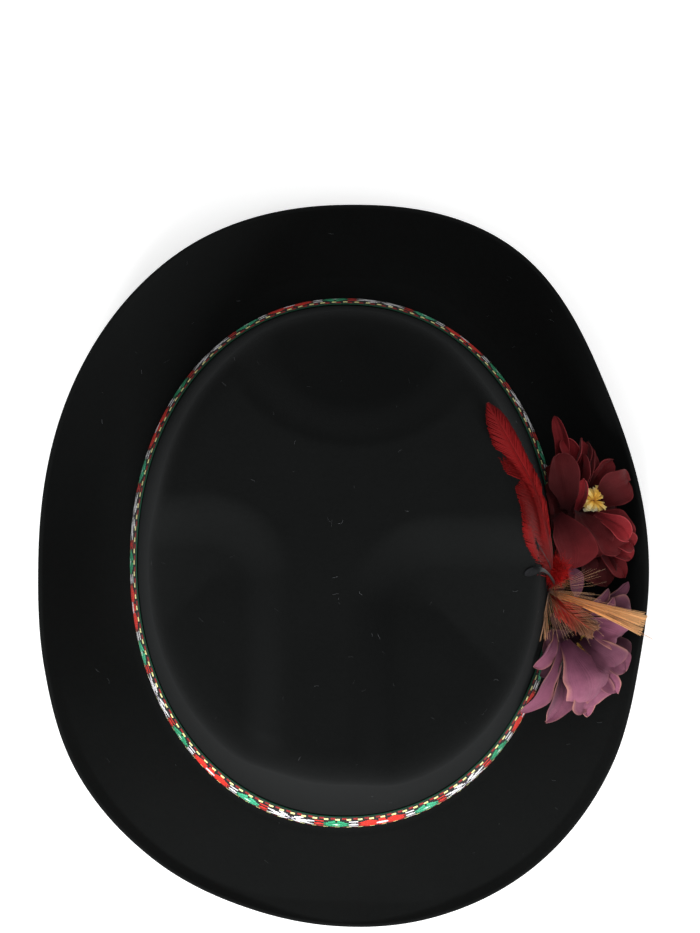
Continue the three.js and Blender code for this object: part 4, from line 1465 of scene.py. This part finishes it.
@dataclass(frozen=True)
class Quill:
    """The short dark quill: it climbs the wall and its glossy flat end lies on the crown."""

    rows: tuple[tuple[float, ...], ...] = (
        (79.5, -10.0, 42.0, 1.2),
        (80.0, -9.5, 56.0, 1.2),
        (78.5, -8.0, 72.0, 1.2),
        (76.2, -6.0, 86.0, 0.9),
        (73.4, -4.8, 94.0, 1.5),
        (70.0, -5.6, 95.4, 2.9),
        (67.2, -6.8, 95.4, 2.0),
    )
    hair: tuple[tuple[float, ...], ...] = (
        (79.0, -6.0, 50.0),
        (77.8, -3.0, 72.0),
        (75.5, 0.0, 88.0),
        (72.0, 5.0, 97.0),
    )
    hair_colour: Colour = (0.012, 0.012, 0.013)
    stops: tuple[Colour, ...] = (
        (0.003, 0.003, 0.003),
        (0.004, 0.004, 0.004),
        (0.007, 0.0075, 0.009),
    )
    wall: float = 0.5
    gap: float = 0.7
    hair_gap: float = 0.6

    def build(self, form: HatForm, lay: Lay, rod: Strands) -> bpy.types.Object:
        """Builds the quill."""
        piece = Bench.grid("quill", 6, 40)
        flat = coordinates(piece.data)
        rows = spline(np.array(self.rows, float), flat[:, 1] + 0.5)
        ahead = spline(np.array(self.rows, float), flat[:, 1] + 0.52)
        behind = spline(np.array(self.rows, float), flat[:, 1] + 0.48)
        tangent = unit((ahead - behind)[:, :3])
        lie = smooth((rows[:, 2] - 80.0) / 12.0)[:, None]
        face = unit(mix(unit(rows[:, :3] * AWAY), UP, lie))
        across = unit(np.cross(tangent, face))
        share = flat[:, 0] * 2.0
        past = np.clip((flat[:, 1] - 0.4) / 0.1, 0.0, 1.0)
        closing = np.sqrt(np.clip(1.0 - past**2, 0.05, 1.0))
        half = rows[:, 3] / 2.0 * closing
        ridge = 0.35 * (1.0 - share**2) * half
        points = rows[:, :3] + across * (share * half)[:, None] + face * ridge[:, None]
        Bench.shape(piece, lay.place(form.clear(points, self.gap)))
        Bench.paint(piece, "strand", blend(self.stops, flat[:, 1] + 0.5))
        Bench.thicken(piece, self.wall)
        Bench.smooth_shade(piece)
        share = np.linspace(0.0, 1.0, rod.steps + 1)
        course = form.clear(spline(np.array(self.hair, float), share), self.hair_gap)
        girth = (0.5 - 0.3 * share) * MM
        hair = rod.single("quill_hair", lay.place(course), girth, self.hair_colour)
        whole = Bench.join([piece, hair], "quill")
        finish = StrandFinish("quill_dark", 0.42, 0.0, 0.8, 0.13)
        seat(whole, "quill_dark", finish.material(), "quill_black")
        return whole


@dataclass(frozen=True)
class Binding:
    """The thread-wrapped pad that holds the stems on the band."""

    azimuth: float = -3.5
    foot: float = 14.0
    height: float = 20.0
    width: float = 19.0
    thickness: float = 3.2
    turns: int = 15
    wall: float = 0.5

    def build(self, form: HatForm, lay: Lay) -> bpy.types.Object:
        """Builds the pad with its windings."""
        piece = Bench.grid("binding", 24, self.turns * 6)
        flat = coordinates(piece.data)
        across, up = flat[:, 0] * 2.0, flat[:, 1] * 2.0
        crown = (1.0 - across**6) * (1.0 - up**10)
        thread = 0.45 * np.abs(np.sin((flat[:, 1] + 0.5 + 0.01 * across) * math.pi * self.turns))
        seat_out = form.band_gap + form.band_thickness + 0.6
        out = seat_out + crown * (self.thickness - 1.0) + thread * crown
        span = np.degrees(self.width / 2.0 / form.half_width) * across
        height = self.foot + self.height * (flat[:, 1] + 0.5)
        Bench.shape(piece, lay.place(form.wall_point(self.azimuth + span, height, out)))
        shade = 0.7 + 0.3 * np.abs(np.sin(up * 9.0))
        Bench.paint(piece, "strand", np.array([[0.05, 0.008, 0.008]]) * shade[:, None])
        Bench.thicken(piece, self.wall, -1.0)
        Bench.smooth_shade(piece)
        seat(piece, "binding", StrandFinish("binding_thread", 0.7, 0.1).material(), "posy_binding")
        return piece


@dataclass(frozen=True)
class Lint:
    """Fine pale fibres caught on the felt."""

    count: int = 120
    length: tuple[float, float] = (0.5, 2.4)
    seed: int = 41

    def build(self, sheet: Array, lay: Lay, rod: Strands) -> bpy.types.Object:
        """Lays the fibres on the felt's outer face."""
        chance = np.random.default_rng(self.seed)
        columns, rings = sheet.shape[:2]
        column = chance.integers(2, columns - 3, self.count)
        ring = chance.integers(4, rings - 6, self.count)
        here = sheet[column, ring]
        east = unit(sheet[column + 1, ring] - sheet[column - 1, ring])
        north = unit(sheet[column, ring + 1] - sheet[column, ring - 1])
        normal = unit(np.cross(east, north))
        turn = chance.uniform(0.0, 2.0 * math.pi, (self.count, 1))
        course = east * np.cos(turn) + north * np.sin(turn)
        bend = np.cross(normal, course) * chance.normal(0.0, 0.4, (self.count, 1))
        length = chance.uniform(*self.length, (self.count, 1))[:, None]
        along = np.linspace(-0.5, 0.5, rod.steps + 1)[None, :, None]
        path = here[:, None] + course[:, None] * along * length
        path = path + bend[:, None] * along**2 * length + normal[:, None] * (0.28 - 0.2 * along**2)
        girth = np.full((self.count, rod.steps + 1), 0.07 * MM)
        tone = chance.uniform(0.03, 0.2, (self.count, 1, 1))
        colours = np.tile([0.9, 0.95, 1.0], (self.count, rod.steps + 1, 1)) * tone
        face = np.broadcast_to(normal[:, None], path.shape)
        piece = rod.lay("lint", lay.place(path), face, girth, girth, colours)
        seat(piece, "felt", StrandFinish("lint", 0.8).material())
        return piece


@dataclass(frozen=True)
class Studio:
    """The faintly glowing white floor, the soft lamps and the camera straight above the hat."""

    distance: float = 1.9
    aim: tuple[float, float] = (2.0, 38.0)
    view_height: float = 368.5
    floor: float = 3.0
    sky: float = 0.45
    glow: float = 0.45
    sensor: float = 36.0

    def build(self, lay: Lay) -> None:
        """Sets the camera, the lamps and the floor."""
        scene = bpy.context.scene
        data = bpy.data.cameras.new("camera")
        data.sensor_fit = "VERTICAL"
        data.sensor_height = data.sensor_width = self.sensor
        data.lens = self.sensor * self.distance / (self.view_height * MM)
        camera = bpy.data.objects.new("camera", data)
        camera.location = (
            (lay.origin[0] + self.aim[0]) * MM,
            (lay.origin[1] + self.aim[1]) * MM,
            self.distance,
        )
        scene.collection.objects.link(camera)
        scene.camera = camera
        scene.view_settings.view_transform = "Standard"
        world = bpy.data.worlds.new("studio")
        world.use_nodes = True
        world.node_tree.nodes["Background"].inputs["Color"].default_value = (1.0, 1.0, 1.0, 1.0)
        world.node_tree.nodes["Background"].inputs["Strength"].default_value = self.sky
        scene.world = world
        self._lamp("overhead", (0.0, 0.3, 1.6), (0.0, 0.0, 0.0), 1.4, 7.0)
        self._lamp("window", (-0.4, -1.5, 1.05), (0.0, 0.0, 0.05), 1.0, 42.0)
        self._lamp("fill", (1.2, -0.3, 1.2), (0.0, 0.0, 0.05), 1.0, 5.0)
        bpy.ops.object.select_all(action="DESELECT")
        bpy.ops.mesh.primitive_plane_add(size=self.floor)
        floor = bpy.context.object
        floor.name = "floor"
        paint = Paint("floor_paper")
        grain = paint.noise(90.0, 3.0)
        floor.data.materials.append(
            paint.cover(
                {
                    "Base Color": paint.tint(grain, (0.9, 0.9, 0.9), (0.93, 0.93, 0.93)),
                    "Roughness": 0.9,
                    "Emission Color": (1.0, 1.0, 1.0, 1.0),
                    "Emission Strength": self.glow,
                }
            )
        )

    @staticmethod
    def _lamp(name: str, place: tuple, target: tuple, size: float, power: float) -> None:
        """A square area lamp that looks at a target."""
        data = bpy.data.lights.new(name, "AREA")
        data.size = size
        data.energy = power
        lamp = bpy.data.objects.new(name, data)
        lamp.location = place
        look = np.array(target) - np.array(place)
        level = math.hypot(look[0], look[1])
        lamp.rotation_euler = (math.atan2(level, -look[2]), 0.0, math.atan2(-look[0], look[1]))
        bpy.context.scene.collection.objects.link(lamp)


# The first colour of each silk, its foot, is painted shade; its rim colour is partly a painted edge
# highlight.
BURGUNDY = SilkFinish(
    "silk_burgundy",
    (0.042, 0.002, 0.004),
    (0.12, 0.006, 0.0085),
    (0.16, 0.01, 0.013),
    (0.3, 0.04, 0.045),
    0.6,
)
MAUVE = SilkFinish(
    "silk_mauve",
    (0.038, 0.008, 0.021),
    (0.145, 0.043, 0.08),
    (0.215, 0.076, 0.11),
    (0.4, 0.19, 0.12),
    0.6,
    0.72,
)
# Each petal's tone, its tenth value, and each whorl's last value are painted light and shade: lit
# near petals are higher, petals deep in the flower lower.
FLOWERS = (
    Flower(
        "blossom_burgundy",
        "flower_burgundy",
        "petal_burgundy",
        (88.5, 21.0, 22.0),
        (0.72, 0.0, 0.66),
        (
            Petal(81.0, 55.9, 36.0, 5.6, (83.6, 33.0, 26.0), 3.0, -30.0, 0.45, 0.55, 0.75),
            Petal(84.8, 47.2, 35.0, 8.0, (85.5, 32.0, 25.0), 3.0, -10.0, 0.6, 0.5, 0.72, 1.0),
            Petal(91.6, 47.6, 32.0, 7.0, (87.5, 32.0, 25.0), 3.0, 25.0, 0.7, 1.2, 0.62),
            Petal(82.4, 40.9, 43.0, 13.0, (85.0, 20.0, 32.0), 4.0, -15.0, 0.2, 0.45, 0.34),
            Petal(94.2, 46.3, 30.0, 5.0, (90.5, 27.0, 27.0), 3.0, 35.0, 1.0, 1.0, 0.3),
            Petal(92.4, 41.5, 34.0, 5.0, (90.0, 25.0, 29.0), 3.0, 50.0, 1.0, 1.0, 0.38),
            Petal(95.6, 43.0, 31.0, 5.0, (91.5, 26.0, 27.0), 3.0, 45.0, 1.0, 1.1, 0.34),
            Petal(104.0, 39.4, 29.0, 8.0, (94.0, 29.0, 26.0), 3.0, 0.0, 0.4, 1.3, 0.55),
            Petal(109.8, 31.0, 33.0, 15.0, (96.0, 23.5, 28.0), 5.0, 8.0, 0.25, 0.45, 0.48),
            Petal(104.5, 22.0, 30.0, 10.0, (95.5, 21.5, 27.0), 3.0, 0.0, 0.3, 0.8, 0.2),
            Petal(92.0, 31.5, 40.0, 5.0, (89.3, 18.5, 31.0), 2.0, -50.0, 0.5, 0.7, 1.15),
            Petal(109.0, 6.0, 32.0, 18.0, (90.8, 18.5, 29.0), 6.0, -8.0, 0.3, 0.6, 0.62),
            Petal(109.3, 7.6, 37.0, 7.5, (97.0, 18.2, 33.0), 4.0, 14.0, 0.5, 0.9, 1.12),
            Petal(107.5, 11.2, 32.0, 8.0, (97.5, 20.0, 29.0), 3.5, 0.0, 0.4, 0.6, 0.66),
            Petal(111.8, 5.2, 31.0, 8.0, (97.0, 12.5, 27.0), 4.0, 10.0, 0.7, 0.8, 0.82),
            Petal(111.0, 0.9, 28.0, 7.0, (97.0, 9.0, 26.0), 4.0, 0.0, 0.6, 0.9, 0.85),
            Petal(88.2, -3.2, 44.0, 17.5, (81.8, 17.0, 39.0), 5.0, 10.0, 0.15, 0.45, 0.66),
            Petal(96.0, 2.0, 35.0, 16.0, (90.0, 19.0, 33.0), 5.0, 0.0, 0.2, 0.6, 0.42),
            Petal(108.2, -6.4, 27.0, 9.0, (94.5, 8.0, 24.0), 4.0, -10.0, 0.4, 1.0, 0.62),
            Petal(101.5, -10.0, 27.0, 12.0, (91.0, 8.0, 23.0), 4.0, 10.0, 0.3, 0.9, 0.2),
            Petal(94.0, -8.0, 30.0, 9.0, (88.0, 8.0, 26.0), 4.0, -15.0, 0.4, 1.2, 0.3),
        ),
        (Whorl(8, 20.0, 15.0, 96.0, 10.0, 0.35, 0.28),),
        BURGUNDY,
        11,
    ),
    Flower(
        "blossom_mauve",
        "flower_mauve",
        "petal_mauve",
        (88.0, -30.0, 21.0),
        (0.7, -0.4, 0.6),
        (
            Petal(93.4, -54.8, 29.0, 20.0, (84.6, -31.0, 38.0), 8.0, 0.0, -0.35, 0.33, 0.86),
            Petal(93.4, -57.6, 23.0, 17.5, (89.5, -36.0, 27.0), 5.0, 0.0, 0.3, 0.45, 0.92),
            Petal(72.6, -41.0, 46.0, 9.0, (80.5, -27.0, 40.0), 4.0, -20.0, 0.4, 0.6, 0.9),
            Petal(68.0, -58.4, 35.0, 12.0, (83.0, -31.5, 38.0), 5.0, -25.0, 0.4, 0.9, 0.9),
            Petal(77.8, -62.2, 25.0, 14.0, (84.5, -38.0, 29.0), 5.0, -10.0, 0.4, 1.2, 0.72),
            Petal(106.5, -29.0, 33.0, 13.0, (93.0, -23.0, 31.0), 6.0, 8.0, 0.3, 0.6, 0.86),
            Petal(105.2, -41.2, 31.0, 13.0, (91.5, -30.6, 32.0), 5.0, 10.0, 0.35, 0.9, 0.55),
            Petal(108.6, -42.4, 28.0, 11.0, (95.0, -31.0, 26.0), 5.0, 0.0, 0.3, 1.1, 0.75),
            Petal(105.6, -51.0, 25.0, 9.0, (94.5, -37.0, 26.0), 4.0, 0.0, 0.4, 1.2, 1.05),
            Petal(94.2, -60.3, 20.0, 6.0, (91.5, -44.0, 22.0), 2.0, 0.0, 0.3, 0.8, 1.1),
            Petal(110.8, -19.7, 31.0, 13.0, (94.5, -17.0, 28.0), 6.0, -10.0, 0.3, 0.8, 0.36),
            Petal(101.8, -10.9, 37.0, 4.0, (90.0, -20.0, 31.0), 4.0, -20.0, 0.8, 0.8, 0.5),
            Petal(103.5, -14.1, 37.0, 3.6, (92.0, -21.0, 32.0), 4.0, 10.0, 0.8, 0.8, 0.7),
            Petal(86.6, -2.6, 42.0, 6.5, (89.0, -14.0, 34.0), 4.0, 0.0, 0.3, 0.7, 0.6),
            Petal(110.6, -36.6, 26.0, 9.0, (96.0, -27.0, 25.0), 3.0, 0.0, 0.3, 0.9, 0.25),
            Petal(82.6, -45.3, 33.0, 8.0, (86.2, -30.7, 34.0), 3.0, 0.0, 0.6, 0.8, 0.12),
            Petal(110.0, -8.0, 27.0, 4.0, (99.0, -15.0, 25.0), 3.0, 0.0, 0.4, 0.9, 0.7),
        ),
        (
            Whorl(7, 19.0, 15.0, 94.0, 10.0, 0.35, 0.32),
            Whorl(5, 14.0, 12.0, 78.0, 40.0, 0.35, 0.22),
        ),
        MAUVE,
        31,
    ),
)
STAMENS = (
    Stamens(
        "stamens_cream",
        "stamens_burgundy",
        "stamen_cream",
        (96.2, 23.4, 33.0),
        (0.4, 0.0, 0.92),
        ((0.4, 0.15, 0.01), (0.72, 0.4, 0.05), (0.85, 0.66, 0.24), (0.9, 0.84, 0.55)),
        5,
        40,
        3.3,
        6.0,
    ),
    Stamens(
        "stamens_yellow",
        "stamens_mauve",
        "stamen_yellow",
        (93.0, -33.5, 22.5),
        (0.84, -0.38, 0.4),
        ((0.3, 0.08, 0.01), (0.6, 0.3, 0.04), (0.75, 0.5, 0.12)),
        6,
        26,
        4.2,
        4.6,
    ),
)
RED = (
    (0.13, 0.0015, 0.0015),
    (0.135, 0.002, 0.002),
    (0.15, 0.0035, 0.0035),
    (0.13, 0.004, 0.0045),
    (0.1, 0.0035, 0.004),
)
BROWN_TIP = (
    (0.5, 0.006, 0.005),
    (0.46, 0.01, 0.007),
    (0.26, 0.026, 0.014),
    (0.11, 0.035, 0.014),
    (0.15, 0.055, 0.022),
)
PLUMES = (
    Plume(
        "plume_red_long",
        "feather_red_long",
        "feather_red",
        (
            (77.0, -8.5, 38.0, 0.4, 0.4, 0.0),
            (78.8, -5.0, 58.0, 1.0, 0.6, 0.3),
            (77.8, 0.5, 80.0, 5.4, 1.2, 0.7),
            (75.5, 8.0, 96.0, 9.0, 1.6, 0.9),
            (73.0, 18.0, 104.0, 7.8, 2.4, 1.0),
            (69.5, 27.0, 109.0, 6.8, 3.0, 1.0),
            (64.5, 36.0, 111.5, 6.6, 3.2, 1.0),
            (59.5, 45.0, 113.0, 5.6, 3.6, 1.0),
            (55.6, 52.0, 113.5, 3.6, 2.8, 1.0),
            (53.0, 56.5, 113.0, 0.3, 0.3, 1.0),
        ),
        RED,
        (0.1, 0.004, 0.004),
        520,
        3,
        shaft=0.9,
        barb=0.85,
        loose=0.09,
        notches=((-1, 0.6, 0.02, 0.75), (1, 0.5, 0.02, 0.25)),
    ),
    Plume(
        "plume_red_low",
        "feather_red_low",
        "feather_brown_tip",
        (
            (78.5, -13.0, 43.0, 0.4, 0.4, 1.0),
            (82.0, -17.0, 49.0, 3.2, 2.8, 1.0),
            (86.5, -21.0, 52.5, 4.2, 3.8, 1.0),
            (91.5, -24.8, 53.0, 4.2, 4.0, 1.0),
            (95.5, -27.5, 51.0, 2.4, 2.4, 1.0),
        ),
        BROWN_TIP,
        (0.3, 0.03, 0.012),
        150,
        4,
        shaft=0.7,
        reach=7.0,
        loose=0.7,
        finish=StrandFinish("feather_brown_tip", 0.32),
    ),
)
STRAW = ((0.3, 0.08, 0.015), (0.6, 0.2, 0.05), (0.72, 0.33, 0.11), (0.75, 0.42, 0.18))
FINE = ((0.2, 0.07, 0.02), (0.36, 0.16, 0.06), (0.46, 0.25, 0.12))
ROOTED = ((0.12, 0.055, 0.02), (0.3, 0.13, 0.045), (0.5, 0.24, 0.1))
SPRAY_SEED = 60
SPRAY_STEP = 9
SPRAYS = (
    (
        "straw_long",
        "feather_tan_long",
        (
            Spray(
                (76.6, -11.6, 46.0), (114.6, -24.9, 56.0), (1.4, 7.8), 190, 4.0,
                0.05, 0.3, 0.09, 0.16, STRAW,
            ),
            Spray(
                (77.6, -11.6, 50.0), (97.5, -10.5, 60.0), (1.0, 13.0), 34, 4.5,
                0.34, 0.1, 0.7, 0.3, FINE,
            ),
            Spray(
                (80.0, -12.5, 51.0), (104.0, -22.0, 61.0), (1.6, 12.0), 22, 4.5,
                0.34, 0.1, 0.7, 0.3, FINE,
            ),
            Spray(
                (100.0, -21.0, 55.0), (123.0, -32.5, 56.0), (2.0, 2.0), 5, 1.0,
                0.3, 0.14, 0.3, 0.5, FINE,
            ),
        ),
    ),
    (
        "straw_low",
        "feather_tan_low",
        (
            Spray(
                (76.2, -12.0, 47.0), (75.3, -31.0, 52.0), (1.2, 4.4), 70, 4.0,
                0.26, 0.16, 0.6, 0.4, ROOTED,
            ),
            Spray(
                (77.5, -13.0, 47.0), (83.0, -31.5, 50.0), (1.4, 6.0), 26, 4.0,
                0.4, 0.1, 0.7, 0.4, FINE,
            ),
            Spray(
                (76.0, -12.0, 48.0), (71.5, -21.0, 56.0), (1.0, 6.0), 14, 2.0,
                0.3, 0.12, 0.4, 0.4, FINE,
            ),
        ),
    ),
)


def main() -> None:
    """Builds the hat's pieces in order."""
    logging.basicConfig(level=logging.INFO, format="%(name)s: %(message)s")
    form = HatForm()
    lay = Lay.from_band(form)
    log.info("tilt %.3f degrees, origin %s mm", math.degrees(lay.tilt), np.round(lay.origin, 3))
    Studio().build(lay)
    body = FeltBody(form, lay)
    body.build()
    Ribbon().build(form, lay)
    for flower in FLOWERS:
        flower.build(form, lay)
    for stamens in STAMENS:
        stamens.build(form, lay)
    barb, rod, hair = Strands(5), Strands(30, 8), Strands(6)
    for plume in PLUMES:
        plume.build(form, lay, barb, rod)
    Tuft().build(form, lay, hair)
    Quill().build(form, lay, rod)
    Binding().build(form, lay)
    Lint().build(body.sheet(), lay, hair)
    for index, (name, node, sprays) in enumerate(SPRAYS):
        seed = SPRAY_SEED + index * SPRAY_STEP
        bundles = [spray.strands(form, lay, hair, seed + at) for at, spray in enumerate(sprays)]
        bundle = Bench.join(bundles, name)
        seat(bundle, "feather_tan", StrandFinish(name, 0.5, 0.15).material(), node)


if __name__ == "__main__":
    main()
